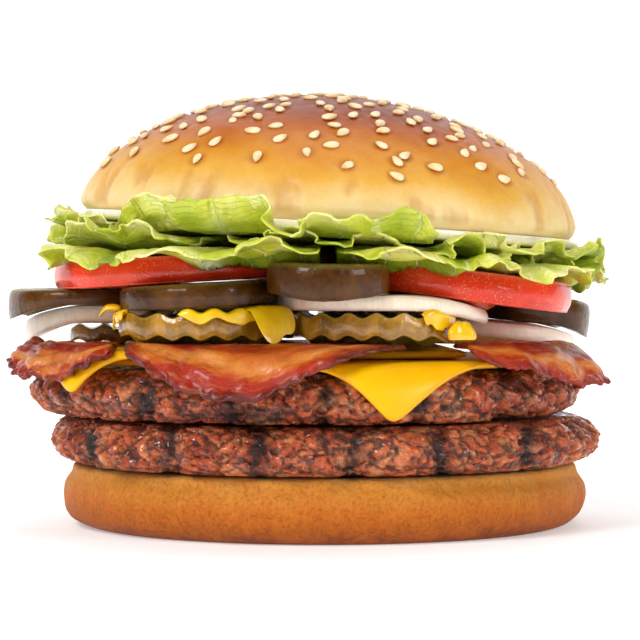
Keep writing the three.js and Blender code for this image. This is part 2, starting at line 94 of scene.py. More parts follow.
class Finish:
    def __init__(self, name):
        self.material = bpy.data.materials.new(name)
        self.material.use_nodes = True
        self.tree = self.material.node_tree
        self.tree.nodes.clear()
        self.place = self.node("ShaderNodeTexCoord", output="Object")

    def node(self, kind, settings=None, inputs=None, output=0):
        made = self.tree.nodes.new(kind)
        for key, value in (settings or {}).items():
            if key == "stops":
                while len(made.color_ramp.elements) > 1:
                    made.color_ramp.elements.remove(made.color_ramp.elements[-1])
                for index, (position, code) in enumerate(value):
                    elements = made.color_ramp.elements
                    stop = elements[0] if index == 0 else elements.new(position)
                    stop.position = position
                    stop.color = tone(code)
            else:
                setattr(made, key, value)
        for key, value in (inputs or {}).items():
            if isinstance(value, Reading):
                self.tree.links.new(value.socket, made.inputs[key])
            else:
                made.inputs[key].default_value = value
        return Reading(self, made.outputs[output]) if len(made.outputs) else None

    def attribute(self, name):
        return self.node("ShaderNodeAttribute", {"attribute_name": name}, output="Fac")

    def spread(self, place, stretch):
        # the place to read a texture at, lengthened along x, y, z
        place = place or self.place
        if not stretch:
            return place
        return self.node("ShaderNodeMapping", inputs={"Vector": place, "Scale": [1 / s for s in stretch]})

    def noise(self, size, detail=3, roughness=0.5, distortion=0.0, stretch=None, place=None):
        # soft noise, size in mm
        return self.node("ShaderNodeTexNoise", inputs={
            "Vector": self.spread(place, stretch), "Scale": 1 / (size * mm), "Detail": detail,
            "Roughness": roughness, "Distortion": distortion})

    def cells(self, size):
        return self.node("ShaderNodeTexVoronoi", inputs={"Vector": self.place, "Scale": 1 / (size * mm)})

    def step(self, value, low, high, start=0.0, end=1.0):
        return self.node("ShaderNodeMapRange", {"interpolation_type": "SMOOTHSTEP"}, {
            "Value": value, "From Min": low, "From Max": high, "To Min": start, "To Max": end})

    def ramp(self, value, *stops):
        return self.node("ShaderNodeValToRGB", {"stops": stops}, {"Fac": value})

    def mix(self, share, first, second):
        first = tone(first) if isinstance(first, str) else first
        second = tone(second) if isinstance(second, str) else second
        return self.node("ShaderNodeMix", {"data_type": "RGBA"}, {0: share, 6: first, 7: second}, output=2)

    def upAndDown(self, value, length):
        # runs from 0 to the length and back, again and again
        return self.node("ShaderNodeMath", {"operation": "PINGPONG"}, {0: value, 1: length})

    def shade(self, color, value):
        # colour times a number
        grey = self.node("ShaderNodeCombineXYZ", inputs={"X": value, "Y": value, "Z": value})
        return self.node("ShaderNodeVectorMath", {"operation": "MULTIPLY"}, {0: color, 1: grey})

    def bump(self, height, depth):
        inputs = {"Height": height, "Distance": depth * mm, "Strength": 1.0}
        return self.node("ShaderNodeBump", inputs=inputs, output="Normal")

    def done(self, color, roughness, normal, **others):
        inputs = {"Base Color": color, "Roughness": roughness, "Normal": normal}
        for name, value in others.items():
            inputs[socketNames[name]] = value
        body = self.node("ShaderNodeBsdfPrincipled", {"subsurface_method": "RANDOM_WALK"}, inputs)
        self.node("ShaderNodeOutputMaterial", inputs={"Surface": body})
        return self.material


# Noise on arrays of points
def hashed(cells, seed):
    # whole-number cells to a number from 0 to 1: the fraction of a large sine
    value = np.sin(cells @ np.array([127.1, 311.7, 74.7]) + seed * 19.19) * 43758.5453
    return value - np.floor(value)


def softNoise(points, seed):
    # the eight corners of the unit cell, mixed by a smooth step along each axis, from -1 to 1
    low = np.floor(points)
    part = points - low
    part = part * part * (3 - 2 * part)
    total = 0
    for corner in np.ndindex(2, 2, 2):
        share = np.where(np.array(corner) == 1, part, 1 - part).prod(axis=-1)
        total = total + share * hashed(low + np.array(corner), seed)
    return 2 * total - 1


def roughNoise(points, size, seed, octaves=3):
    # soft noise plus half of it at half the size, and so on
    return sum(0.5 ** k * softNoise(points / size * 2 ** k + 13.7 * k, seed + k) for k in range(octaves))


def grainNoise(points, size, seed):
    # one random spot per cell: how much nearer the nearest is than the next, and the nearest one's own number
    scaled = points / size
    low = np.floor(scaled)
    nearest = np.full(points.shape[:-1], 9.0)
    second = nearest.copy()
    own = np.zeros(points.shape[:-1])
    for corner in np.ndindex(3, 3, 3):
        cell = low + np.array(corner) - 1
        spot = cell + np.stack([hashed(cell, seed + k) for k in range(3)], axis=-1)
        away = np.linalg.norm(scaled - spot, axis=-1)
        closer = away < nearest
        second = np.where(closer, nearest, np.minimum(second, away))
        own = np.where(closer, hashed(cell, seed + 5), own)
        nearest = np.where(closer, away, nearest)
    return second - nearest, own


def wobble(angle, seed, lowest=2, highest=5):
    # sine waves round a slice, each shorter and lower than the last
    return sum(np.sin(k * angle + seed * k * k) / k for k in range(lowest, highest + 1))


def draw(index, kind):
    # the same number from 0 to 1 each time for the same pair
    value = np.sin(index * 12.9898 + kind * 78.233) * 43758.5453
    return value - np.floor(value)


def smoothStep(value, low, high):
    share = np.clip((value - low) / (high - low), 0, 1)
    return share * share * (3 - 2 * share)


def throughPoints(points, count):
    # Catmull-Rom curve: a cubic between each pair of points whose slope is half the step across its neighbours
    points = np.array(points, float)
    padded = np.vstack([2 * points[0] - points[1], points, 2 * points[-1] - points[-2]])
    place = np.linspace(0, len(points) - 1, count)
    index = np.minimum(place.astype(int), len(points) - 2)
    t = (place - index)[:, None]
    a, b, c, d = (padded[index + k] for k in range(4))
    return 0.5 * (2 * b + (c - a) * t + (2 * a - 5 * b + 4 * c - d) * t ** 2 + (3 * b - a - 3 * c + d) * t ** 3)


def unit(vectors):
    return vectors / np.maximum(np.linalg.norm(vectors, axis=-1, keepdims=True), 1e-9)


def slopes(surface):
    # the step across a grid's columns, and the normal, which is the cross product of both steps
    along, across = np.gradient(surface, axis=0), np.gradient(surface, axis=1)
    return unit(across), unit(np.cross(along, across))


def unitGrid(rows, columns):
    # two parameters that run from 0 to 1, one along the rows and one across the columns
    return np.meshgrid(np.linspace(0, 1, rows), np.linspace(0, 1, columns), indexing="ij")


# Faces and pieces
def gridFaces(rows, columns, around=False):
    # quads of a grid; around closes the last column onto the first
    row, column = np.meshgrid(np.arange(rows - 1), np.arange(columns if around else columns - 1), indexing="ij")
    aside = (column + 1) % columns
    here, after = row * columns, (row + 1) * columns
    return np.stack([here + column, after + column, after + aside, here + aside], axis=-1).reshape(-1, 4)


def ringFaces(rows, columns):
    # quads of a ring grid and fans to the two points that follow it, the top one first
    here = np.arange(columns)
    aside = (here + 1) % columns
    top = np.stack([np.full(columns, rows * columns), here, aside], axis=-1)
    base = (rows - 1) * columns
    bottom = np.stack([np.full(columns, rows * columns + 1), base + aside, base + here], axis=-1)
    return gridFaces(rows, columns, True).tolist() + top.tolist() + bottom.tolist()


boxFit = {"length": 6, "spare": 0.05}  # how much of a piece's end gives way, and what stays free outside it


def withinBox(points):
    # squeezes the end of a piece that would pass the solid model's box, in proportion
    length = boxFit["length"]
    for axis in (0, 1):
        for way, limit in ((-1, cadBox[0][axis] / mm), (1, cadBox[1][axis] / mm)):
            along = way * points[:, axis]
            start = way * limit - length - boxFit["spare"]
            if along.max() > start + length:
                squeezed = start + (along - start) * length / (along.max() - start)
                points[:, axis] = way * np.where(along > start, squeezed, along)
    return points


def putPiece(name, points, faces, finish, nodes=(), values=None):
    # a piece of the burger from points in mm, with a number per point for each named value
    points = withinBox(points)
    mesh = bpy.data.meshes.new(name)
    mesh.from_pydata((points * mm).tolist(), [], faces)
    mesh.polygons.foreach_set("use_smooth", np.ones(len(mesh.polygons), bool))
    for key, value in (values or {}).items():
        attribute = mesh.attributes.new(key, "FLOAT", "POINT")
        attribute.data.foreach_set("value", np.asarray(value, np.float32).ravel())
    mesh.materials.append(finish)
    mesh.update()
    piece = bpy.data.objects.new(name, mesh)
    bpy.context.scene.collection.objects.link(piece)
    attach(piece, "root")
    for node in nodes:
        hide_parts(node)


def ringPiece(name, rings, finish, nodes=(), values=None, place=None):
    # a closed solid from rings of points, top ring first
    rows, columns = rings.shape[:2]
    points = np.vstack([rings.reshape(-1, 3), rings[0].mean(axis=0), rings[-1].mean(axis=0)])
    flat = {key: np.append(np.ravel(value), [np.mean(value[0]), np.mean(value[-1])])
            for key, value in (values or {}).items()}
    return putPiece(name, lay(points, **(place or {})), ringFaces(rows, columns), finish, nodes, flat)


def sheetPiece(name, middle, thickness, finish, nodes=(), values=None, place=None):
    # a thin solid: both faces lie half the thickness off the middle surface along its normal, joined by a wall
    rows, columns = middle.shape[:2]
    _, normal = slopes(middle)
    row, column = np.meshgrid(np.arange(rows), np.arange(columns), indexing="ij")
    rim = np.minimum(np.minimum(row, rows - 1 - row), np.minimum(column, columns - 1 - column))
    half = 0.5 * thickness * np.sqrt(1 - (1 - np.minimum(rim / 3, 1)) ** 2 * 0.75)
    points = np.vstack([(middle + side * half[..., None] * normal).reshape(-1, 3) for side in (1, -1)])
    count = rows * columns
    upper = gridFaces(rows, columns)
    number = np.arange(count).reshape(rows, columns)
    border = np.concatenate([number[:-1, 0], number[-1, :-1], number[:0:-1, -1], number[0, :0:-1]])
    after = np.roll(border, -1)
    wall = np.stack([border, border + count, after + count, after], axis=-1)
    faces = np.vstack([upper, upper[:, ::-1] + count, wall]).tolist()
    flat = {key: np.tile(np.ravel(value), 2) for key, value in (values or {}).items()}
    return putPiece(name, lay(points, **(place or {})), faces, finish, nodes, flat)


def pieceNameOf(node):
    first, *rest = node.split("_")
    return first + "".join(word.capitalize() for word in rest)


def lay(points, x=0, y=0, z=0, right=0, front=0):
    # turns a piece so that it falls to the right and to the viewer, then moves it to its place
    px, py, pz = np.moveaxis(points, -1, 0)
    c, s = math.cos(right * degree), math.sin(right * degree)
    px, pz = px * c + pz * s, pz * c - px * s
    c, s = math.cos(front * degree), math.sin(front * degree)
    py, pz = py * c - pz * s, py * s + pz * c
    return np.stack([px + x, py + y, pz + z], axis=-1)


def polar(radius, angle, z):
    return np.stack([radius * np.cos(angle), radius * np.sin(angle), z + 0 * radius], axis=-1)


def angles(count):
    return np.arange(count) / count * fullTurn


# Camera: the photograph's view, from a little above the middle of the burger
view = {"x": -1.07, "away": 620, "height": 57, "down": 1.25, "lens": 162.2}
camera = bpy.data.objects.new("camera", bpy.data.cameras.new("camera"))
camera.location = (view["x"] * mm, -view["away"] * mm, view["height"] * mm)
camera.rotation_euler = ((90 - view["down"]) * degree, 0, 0)
camera.data.lens = view["lens"]
camera.data.clip_start = 0.01
bpy.context.scene.collection.objects.link(camera)
bpy.context.scene.camera = camera


# Lower bun
heel = {"radius": 55.5, "foot": 50, "height": 13.3, "rim": 2.2, "rows": 46, "columns": 380}


def heelCrust():
    f = Finish("heelCrust")
    rise = f.attribute("rise")
    rim = f.attribute("rim")
    mottle = f.noise(9, 4, 0.6)
    grain = f.noise(0.75, 4, 0.75)
    streak = f.noise(1.4, 3, 0.6, stretch=(1, 1, 6))
    color = f.ramp(rise * 0.85 + (mottle - 0.5) * 0.5 + (streak - 0.5) * 0.3,
                   (0.0, "8a3e06"), (0.14, "ac5810"), (0.42, "c66a16"), (0.75, "d48a30"), (1.0, "cc9148"))
    color = f.mix(rim, color, "e8c27c")
    color = f.shade(color, 0.58 + 0.78 * grain)
    height = grain * 0.8 + streak * 0.7 + f.step(grain, 0.5, 0.3) * 0.5
    return f.done(color, 0.5 + 0.25 * mottle, f.bump(height, 0.28), specular=0.25, soft=0.06,
                  softReach=[0.8, 0.4, 0.2], softScale=0.002)


def makeHeel():
    # profile of the bun's half: flat top, round rim, bulging side, round foot; turned about Z with soft dents
    r, foot, h, rim = heel["radius"], heel["foot"], heel["height"], heel["rim"]
    side = [[r * 0.9, h], [r - 1.6 - rim, h], [r - 2.2, h - 0.45], [r - 1.6, h - rim], [r - 0.3, h * 0.68],
            [r, h * 0.46], [r - 0.75, h * 0.22], [r - 2.8, h * 0.07], [foot, 0.0], [foot - 3, 0.0]]
    profile = throughPoints(side, heel["rows"])
    profile[:, 1] = np.clip(profile[:, 1], 0, h)
    angle = angles(heel["columns"])[None, :]
    radius, z = profile[:, :1], profile[:, 1:]
    bulge = smoothStep(z, 0.05, 2)
    ring = polar(radius + 0 * angle, angle, z)
    dent = 0.5 * wobble(angle, 1.7) + 0.35 * roughNoise(ring, 9, 3)
    crease = -0.35 * smoothStep(roughNoise(ring * [1, 1, 0.25], 5, 8, 2), 0.25, 0.8)
    rings = polar(radius + bulge * (dent + crease) + 0 * angle, angle, z)
    rise = z / h + 0 * angle
    top = smoothStep(z / h, 0.96, 1.0) + 0 * angle
    ringPiece("bunHeel", rings, heelCrust(), ["bun_heel"], {"rise": rise, "rim": top})


makeHeel()
print("lower bun made")

# Patties: crumbly rims with the marks of the grill's bars
grill = {"pitch": 18, "halfWidth": 2.1, "depth": 1.5}
patties = {
    "patty_lower": {"x": -0.5, "z": 13.6, "radius": 58.2, "thickness": 9.8, "bar": 5, "seed": 1},
    "patty_upper": {"x": -4, "z": 23.8, "radius": 58.2, "thickness": 10.2, "bar": 0, "seed": 2},
}
meat = {"rows": 72, "columns": 700, "grain": 4.0, "lump": 1.0}
pattyRim = [[0.72, 1], [0.84, 1], [0.915, 0.985], [0.968, 0.84], [1, 0.5],
            [0.972, 0.16], [0.92, 0.02], [0.85, 0]]  # shares of the radius and of the thickness


def grilledMeat():
    f = Finish("grilledMeat")
    crack, own, char, fat = (f.attribute(name) for name in ("crack", "own", "char", "fat"))
    patch = f.noise(8, 4, 0.62, 0.8)
    crumb = f.noise(1.5, 5, 0.68, 0.5)
    fleck = f.noise(0.5, 3, 0.6)
    color = f.ramp(own * 0.28 + patch * 0.7 + crumb * 0.65 - 0.3,
                   (0.24, "2e0b05"), (0.36, "842a10"), (0.48, "cc5220"), (0.62, "e87c42"), (0.82, "fcba86"))
    color = f.mix(fat * 0.45, color, "d89860")
    color = f.mix(f.step(fleck, 0.58, 0.7) * 0.55, color, "2a100a")
    color = f.mix(f.step(fleck, 0.42, 0.3) * 0.25, color, "d79a78")
    # painted shade: the cracks between the lumps are darkened
    color = f.mix(crack * 0.9, color, "1c0804")
    # real char of the grill bars and seared faces, plus painted shade in the pits
    color = f.mix(char * 0.93, color, "130806")
    wet = f.step(f.noise(2.0, 4, 0.6, 0.8), 0.47, 0.6)
    height = crumb * 0.9 + fleck * 0.7
    return f.done(color, 0.6 - 0.36 * wet, f.bump(height, 1.0), specular=0.6,
                  coat=wet * (1 - char * 0.6), coatRoughness=0.08, soft=0.03,
                  softReach=[1.0, 0.35, 0.2], softScale=0.001)


def makePatty(name, patty, finish):
    # a disc whose rim swells into soft lumps and crumbs with cracks between, pressed in at each bar mark
    profile = throughPoints(pattyRim, meat["rows"])
    angle = angles(meat["columns"])[None, :]
    share, rise = profile[:, :1], profile[:, 1:]
    seed = patty["seed"]
    radius = share * patty["radius"] + 0.9 * wobble(angle, seed, 3, 9)
    flat = polar(radius, angle, rise * patty["thickness"] + 0 * angle)
    warped = flat + 2.2 * np.stack([roughNoise(flat, 3.2, seed + k, 3) for k in (11, 12, 13)], axis=-1)
    edge, own = grainNoise(warped, meat["grain"], seed)
    small, ownSmall = grainNoise(warped, meat["grain"] * 0.45, seed + 9)
    # the cracks between the lumps, where painted shade darkens the colour
    crack = 1 - smoothStep(edge, 0.0, 0.22)
    lump = meat["lump"] * (smoothStep(edge, 0, 0.4) - 0.45) + 0.28 * (smoothStep(small, 0, 0.4) - 0.7)
    soft = roughNoise(flat, 10, seed + 20, 2)
    lump = lump + 1.0 * soft + 0.55 * roughNoise(flat, 2.6, seed + 25, 3)
    pit = smoothStep(roughNoise(flat, 3.4, seed + 70, 2), 0.55, 0.95)
    lump = lump - 1.1 * pit
    half = grill["pitch"] / 2
    offset = (flat[..., 0] + patty["x"] - patty["bar"] + half) % grill["pitch"] - half
    offset = offset + 0.9 * roughNoise(flat, 5, seed + 30, 2)
    mark = np.exp(-(offset / grill["halfWidth"]) ** 2) * smoothStep(np.abs(np.sin(angle)), 0.25, 0.6)
    slope = np.stack([np.gradient(rise, axis=0)[:, 0] * patty["thickness"],
                      np.gradient(share, axis=0)[:, 0] * patty["radius"]], axis=-1)
    outward = np.abs(unit(slope)[:, :1])
    rim = smoothStep(share, 0.84, 0.93)
    moved = rim * (lump - grill["depth"] * mark)
    lift = np.where(rise > 0.5, 1, -1) * smoothStep(np.abs(rise - 0.5), 0.2, 0.5) * rim
    z = rise * patty["thickness"] + 0.55 * lift * np.minimum(lump - 1.2 * mark, 0.05)
    rings = polar(radius + moved * (0.55 + 0.45 * outward), angle, z)
    seared = smoothStep(roughNoise(flat, 9, seed + 40), 0.2, 0.8) * smoothStep(np.abs(rise - 0.5), 0.1, 0.5)
    # the pits add painted shade to the char: the dents are darkened
    char = np.clip(mark * 1.15 * smoothStep(soft, -1.2, -0.1) + 0.75 * seared + 0.5 * pit, 0, 1)
    char = char * smoothStep(roughNoise(flat, 2.5, seed + 50), -0.8, 0.2)
    fat = smoothStep(roughNoise(flat, 5, seed + 60), 0.3, 0.8) * (1 - mark)
    values = {"crack": crack, "own": 0.6 * own + 0.4 * ownSmall, "char": char, "fat": fat}
    ringPiece(pieceNameOf(name), rings, finish, [name], values, {"x": patty["x"], "z": patty["z"]})


grilled = grilledMeat()
for name, patty in patties.items():
    makePatty(name, patty, grilled)
print("patties made")


def drape(x, y, height, start, bend, most):
    # lays a flat sheet's point over the upper patty: past start it turns down round a bend of that radius
    middle = patties["patty_upper"]["x"]
    run = np.maximum(np.hypot(x - middle, y), 1e-6)
    past = np.maximum(0, run - start)
    turn = np.minimum(past / bend, most * degree)
    rest = past - turn * bend
    radius = np.minimum(run, start) + (bend + height) * np.sin(turn) + rest * np.cos(turn)
    drop = bend - (bend + height) * np.cos(turn) + rest * np.sin(turn)
    return np.stack([(x - middle) / run * radius + middle, y / run * radius, -drop], axis=-1)


# Cheese slices
cheese = {"side": 84, "thickness": 1.7, "corner": 30, "count": 116}
cheeses = {
    "cheese_lower": {"x": 3.5, "y": -9.5, "z": 35.3, "turn": 56.5, "start": 55.2, "bend": 6.2, "most": 80},
    "cheese_upper": {"x": -16.5, "y": 0.5, "z": 37.3, "turn": 5, "start": 54.5, "bend": 8, "most": 80},
}


def meltedCheese():
    f = Finish("meltedCheese")
    cloud = f.noise(16, 3, 0.5)
    color = f.ramp(cloud, (0.3, "fbb403"), (0.7, "ffc605"))
    color = f.mix(f.attribute("edge") * 0.5, color, "f8a802")
    height = f.noise(5, 2) + 0.15 * f.noise(0.8, 2)
    return f.done(color, 0.3 + 0.12 * cloud, f.bump(height, 0.12), soft=0.12,
                  softReach=[1.0, 0.6, 0.15], softScale=0.003, specular=0.25, coat=0.06,
                  coatRoughness=0.2)


def makeCheese(name, piece, finish):
    # a square whose corners are rounded by a high power norm, draped over the upper patty
    line = np.linspace(-1, 1, cheese["count"])
    a, b = np.meshgrid(line, line, indexing="ij")
    power = cheese["corner"]
    largest = np.maximum(np.maximum(np.abs(a), np.abs(b)), 1e-6)
    reach = (np.abs(a / largest) ** power + np.abs(b / largest) ** power) ** (-1 / power)
    c, s = math.cos(piece["turn"] * degree), math.sin(piece["turn"] * degree)
    half = cheese["side"] / 2
    x, y = half * reach * a, half * reach * b
    lift = 0.12 * wobble(np.arctan2(b, a), piece["turn"]) * largest ** 4
    middle = drape(piece["x"] + c * x - s * y, piece["y"] + s * x + c * y, lift,
                   piece["start"], piece["bend"], piece["most"])
    values = {"edge": smoothStep(largest, 0.97, 1.0)}
    sheetPiece(pieceNameOf(name), middle, cheese["thickness"], finish, [name], values,
               {"z": piece["z"]})


melted = meltedCheese()
for name, piece in cheeses.items():
    makeCheese(name, piece, melted)
print("cheese made")

# Bacon strips
bacon = {"z": 39.05, "thickness": 1.2, "start": 54.5, "bend": 9.75, "most": 76, "loose": 56,
         "along": 210, "across": 44}
bacons = {
    "bacon_left": {"bow": [[-65, -9], [-56.5, -39.5], [-42.5, -41]], "width": 15, "ends": [0.45, 0.8],
                   "waves": 2.6, "height": 0.7, "seed": 1, "fat": 0.1},
    "bacon_front": {"bow": [[-34, -40], [-22, -77], [12, -43]], "width": 20, "ends": [0.75, 0.8],
                    "waves": 2.5, "height": 1.3, "seed": 2, "fat": 0.0},
    "bacon_right": {"bow": [[27.5, -44.5], [45, -38], [56, -19]], "width": 18.5, "ends": [0.75, 0.7],
                    "waves": 3.1, "height": 1.2, "seed": 3, "fat": 0.2},
    "bacon_back": {"bow": [[-46, 30], [-6, 70], [46, 30]], "width": 20, "ends": [0.9, 0.8],
                   "waves": 3.4, "height": 1.3, "seed": 4, "fat": 0.05},
}


def friedBacon():
    f = Finish("friedBacon")
    across, along = f.attribute("across"), f.attribute("along")
    strip = f.node("ShaderNodeCombineXYZ", inputs={"X": along, "Y": across * 0.01, "Z": 0.0})
    patch = f.noise(5, 4, 0.6, 0.4, place=strip, stretch=(2.2, 1, 1))
    streak = f.noise(0.9, 4, 0.65, place=strip, stretch=(7, 1, 1))
    fine = f.noise(0.7, 3, 0.7)
    drift = f.noise(9, 2, place=strip, stretch=(2.5, 1, 1))
    wander = across * 0.5 + 0.5 + (drift - 0.5) * 0.55 + (streak - 0.5) * 0.16
    color = f.ramp(wander, (0.0, "6b0f05"), (0.07, "a41d08"), (0.17, "b9300c"), (0.22, "cf5e18"),
                   (0.33, "e58c3c"), (0.44, "d2641a"), (0.5, "ac240a"), (0.68, "8c1505"), (0.8, "ab260c"),
                   (0.86, "d4782a"), (0.93, "be4410"), (1.0, "921f08"))
    color = f.mix(f.step(streak, 0.5, 0.75) * 0.35, color, "f0b571")
    color = f.mix(f.step(patch, 0.52, 0.75) * 0.5, color, "8e1c0d")
    color = f.mix(f.attribute("edge") * f.step(patch, 0.35, 0.6) * 0.55, color, "4a0d06")
    color = f.shade(color, 0.66 + 0.4 * fine)
    height = streak * 0.7 + f.noise(1.8, 3, 0.6) * 0.6 + fine * 0.15
    return f.done(color, 0.2 + 0.35 * patch, f.bump(height, 0.45), specular=0.35, coat=0.25, coatRoughness=0.1,
                  soft=0.05, softReach=[1.0, 0.3, 0.15], softScale=0.0015)


def makeBacon(name, strip, finish):
    # a band that follows a bow of three points and is laid over the patty, with waves where it hangs loose
    u, v = unitGrid(bacon["along"], bacon["across"])
    start, middle, end = np.array(strip["bow"], float)
    at = [(1 - u) ** 2 * start[k] + 2 * u * (1 - u) * middle[k] + u ** 2 * end[k] for k in (0, 1)]
    slope = [(1 - u) * (middle[k] - start[k]) + u * (end[k] - middle[k]) for k in (0, 1)]
    length = np.hypot(*slope)
    side = 2 * v - 1
    seed = strip["seed"]
    offSeed = np.where(side > 0, seed + 2, seed)
    ragged = 1 + 0.08 * wobble(fullTurn * u, offSeed, 2, 4)
    ragged = ragged + 0.035 * np.sin(fullTurn * 9 * u + offSeed)
    ragged = ragged + 0.02 * np.sin(fullTurn * 23 * u + 3 * offSeed)
    share = 1 - (1 - strip["ends"][0]) * (1 - u) ** 3 - (1 - strip["ends"][1]) * u ** 3
    tip = 1 - 0.35 * (np.abs(2 * u - 1) ** 20) * side ** 2
    reach = side * strip["width"] / 2 * share * ragged * tip
    x, y = at[0] - slope[1] / length * reach, at[1] + slope[0] / length * reach
    loose = np.clip((np.hypot(x, y) - bacon["loose"]) / 12, 0.1, 1)
    phase = fullTurn * strip["waves"] * u + seed + 0.5 * side
    height = loose * (strip["height"] * (1 + np.sin(phase)) + 0.5 * side * np.cos(phase / 2))
    flat = np.stack([x, y, 0 * x], axis=-1)
    height = height + 0.6 * np.clip(loose * 1.5, 0.15, 1) * roughNoise(flat, 5, seed)
    curl = np.abs(side) ** 3 * np.sin(fullTurn * 9 * u + 2 * seed + 2.5 * side)
    height = height + 0.9 * loose * curl + 0.35 * loose * np.sin(fullTurn * 2.2 * side + 3 * np.sin(phase))
    surface = drape(x, y, height, bacon["start"], bacon["bend"], bacon["most"])
    thickness = bacon["thickness"] * (0.9 + 0.25 * roughNoise(flat, 4, seed + 5))
    way = np.cumsum(np.linalg.norm(np.diff(surface[:, :1], axis=0, prepend=surface[:1, :1]), axis=-1), axis=0)
    values = {"across": side + strip["fat"] + 0 * u, "along": way * mm + 0.2 * seed + 0 * side,
              "edge": smoothStep(np.maximum(np.abs(side), np.abs(2 * u - 1) ** 6), 0.75, 1.0)}
    sheetPiece(pieceNameOf(name), surface, thickness, finish, [name], values, {"z": bacon["z"]})


fried = friedBacon()
for name, strip in bacons.items():
    makeBacon(name, strip, fried)
print("bacon made")


# Round slices of pickle, onion, jalapeno and tomato
def sag(x, y, radius, slump, rise=0):
    # a slice's sag towards one side: the square of the way past its start, less at its upper face
    if not slump:
        return 0 * x
    toward, start, drop, top = slump
    along = x * math.cos(toward * degree) + y * math.sin(toward * degree)
    return drop * (1 - (1 - top) * (rise + 0.5)) * np.maximum(0, (along - start) / (radius - start)) ** 2


def topAt(names, x, y):
    # the height of the named slices' upper faces under a point, or far below where there is none
    top = np.full(x.shape, -99.0)
    for name in names:
        piece = {**pickles, **onions, **jalapenos}[name]
        px, py = x - piece["x"], y - piece["y"]
        height = piece["z"] + piece["thickness"] / 2 - px * math.tan(piece.get("right", 0) * degree)
        height = height - sag(px, py, piece["radius"], piece.get("slump"), 0.5)
        height = height + (0.6 if name in pickles else 0.2)
        top = np.where(np.hypot(px, py) < piece["radius"] * 1.03, np.maximum(top, height), top)
    return top


def settled(piece, x, y, z, share, rise):
    # the hidden part of a slice's underside, let down onto what it lies over by up to 3 mm
    below = topAt(piece.get("over", ()), x + piece["x"], y + piece["y"])
    below = np.maximum(below, piece.get("floor", -99.0) + 9 * smoothStep(x, 6, 12))
    below = below - piece["z"] + x * math.sin(piece.get("right", 0) * degree)
    drop = np.where(below > -50, np.clip(z - below - 0.15, 0, 3), 0)
    return z - drop * (1 - smoothStep(share, 0.82, 0.93)) * smoothStep(-rise, 0.3, 0.5)


def placeOf(piece):
    return {key: piece[key] for key in ("x", "y", "z", "right", "front") if key in piece}


pickle = {"wave": 0.5, "pitch": 5.5, "rows": 40, "columns": 190,
          "letDown": 1.8, "letDownLow": 0.3, "upperLayer": 42}  # how far a hidden underside is let down
pickles = {
    "pickle_front_left": {"x": -25, "y": -33.9, "z": 43.15, "radius": 17.3, "thickness": 4.6, "turn": 6},
    "pickle_front_middle": {"x": 10, "y": -35, "z": 43.15, "radius": 17, "thickness": 4.6, "turn": -5,
                            "slump": (0, 7, 1, 1)},
    "pickle_left": {"x": -44, "y": 11, "z": 40.45, "radius": 12, "thickness": 3.2, "turn": 4,
                    "slump": (180, 6, 0.3, 1)},
    "pickle_back_left": {"x": -20, "y": 33, "z": 43.15, "radius": 17, "thickness": 4.6, "turn": 30},
    "pickle_back_right": {"x": 14, "y": 37, "z": 43.15, "radius": 16, "thickness": 4.6, "turn": -24},
}


def wetPickle():
    f = Finish("wetPickle")
    share, rise = f.attribute("share"), f.attribute("rise")
    patch = f.noise(7, 3, 0.55)
    streak = f.noise(1.6, 3, 0.6, stretch=(1, 1, 6))
    skin = f.ramp(patch * 0.7 + streak * 0.35,
                  (0.3, "664608"), (0.5, "966a10"), (0.65, "c08a2a"), (0.85, "e0b45c"))
    flesh = f.ramp(f.noise(3, 3), (0.35, "8f8a36"), (0.7, "b5ad5c"))
    color = f.mix(f.step(share, 0.93, 0.985), flesh, skin)
    rimLine = f.step(rise, 0.36, 0.47) + f.step(0 - rise, 0.36, 0.47)
    color = f.mix(rimLine * 0.2, color, "a89d3c")
    return f.done(color, 0.1 + 0.22 * patch, f.bump(streak * 0.6 + f.noise(1.2, 2) * 0.6, 0.45),
                  soft=0.15, softReach=[0.8, 0.7, 0.2], softScale=0.003,
                  coat=0.6, coatRoughness=0.07)


def makePickle(name, piece, finish):
    # a disc whose two faces carry the same straight sine waves
    radius, half = piece["radius"], piece["thickness"] / 2
    path = throughPoints([[0.1, 1], [0.6, 1], [0.93, 1], [0.985, 0.75], [1, 0], [0.985, -0.75], [0.93, -1],
                          [0.6, -1], [0.1, -1]], pickle["rows"])
    path[:, 1] = np.clip(path[:, 1], -1, 1)
    share, side = path[:, :1], path[:, 1:]
    angle = angles(pickle["columns"])[None, :]
    x, y = share * radius * 0.985 * np.cos(angle), share * radius * np.sin(angle)
    wave = pickle["wave"] * np.sin(x / pickle["pitch"] * fullTurn)
    turn = piece["turn"] * degree
    z = side * half + wave - sag(x * math.cos(turn), 0 * y, radius, piece.get("slump"))
    bulge = 1 + 0.006 * wobble(angle, piece["x"], 3, 6)
    deep = pickle["letDownLow"]
    if piece["z"] > pickle["upperLayer"]:
        deep = pickle["letDown"] * smoothStep(y * math.cos(turn) + x * math.sin(turn) + piece["y"], -36, -31)
    z = z - deep * (1 - smoothStep(share, 0.75, 0.9)) * smoothStep(-side, 0.6, 1)
    x, y = x * bulge, y * bulge
    c, s = math.cos(turn), math.sin(turn)
    rings = np.stack([x * c - y * s, x * s + y * c, z], axis=-1)
    values = {"share": share + 0 * angle, "rise": side / 2 + 0 * angle}
    ringPiece(pieceNameOf(name), rings, finish, [name], values, placeOf(piece))


wet = wetPickle()
for name, piece in pickles.items():
    makePickle(name, piece, wet)

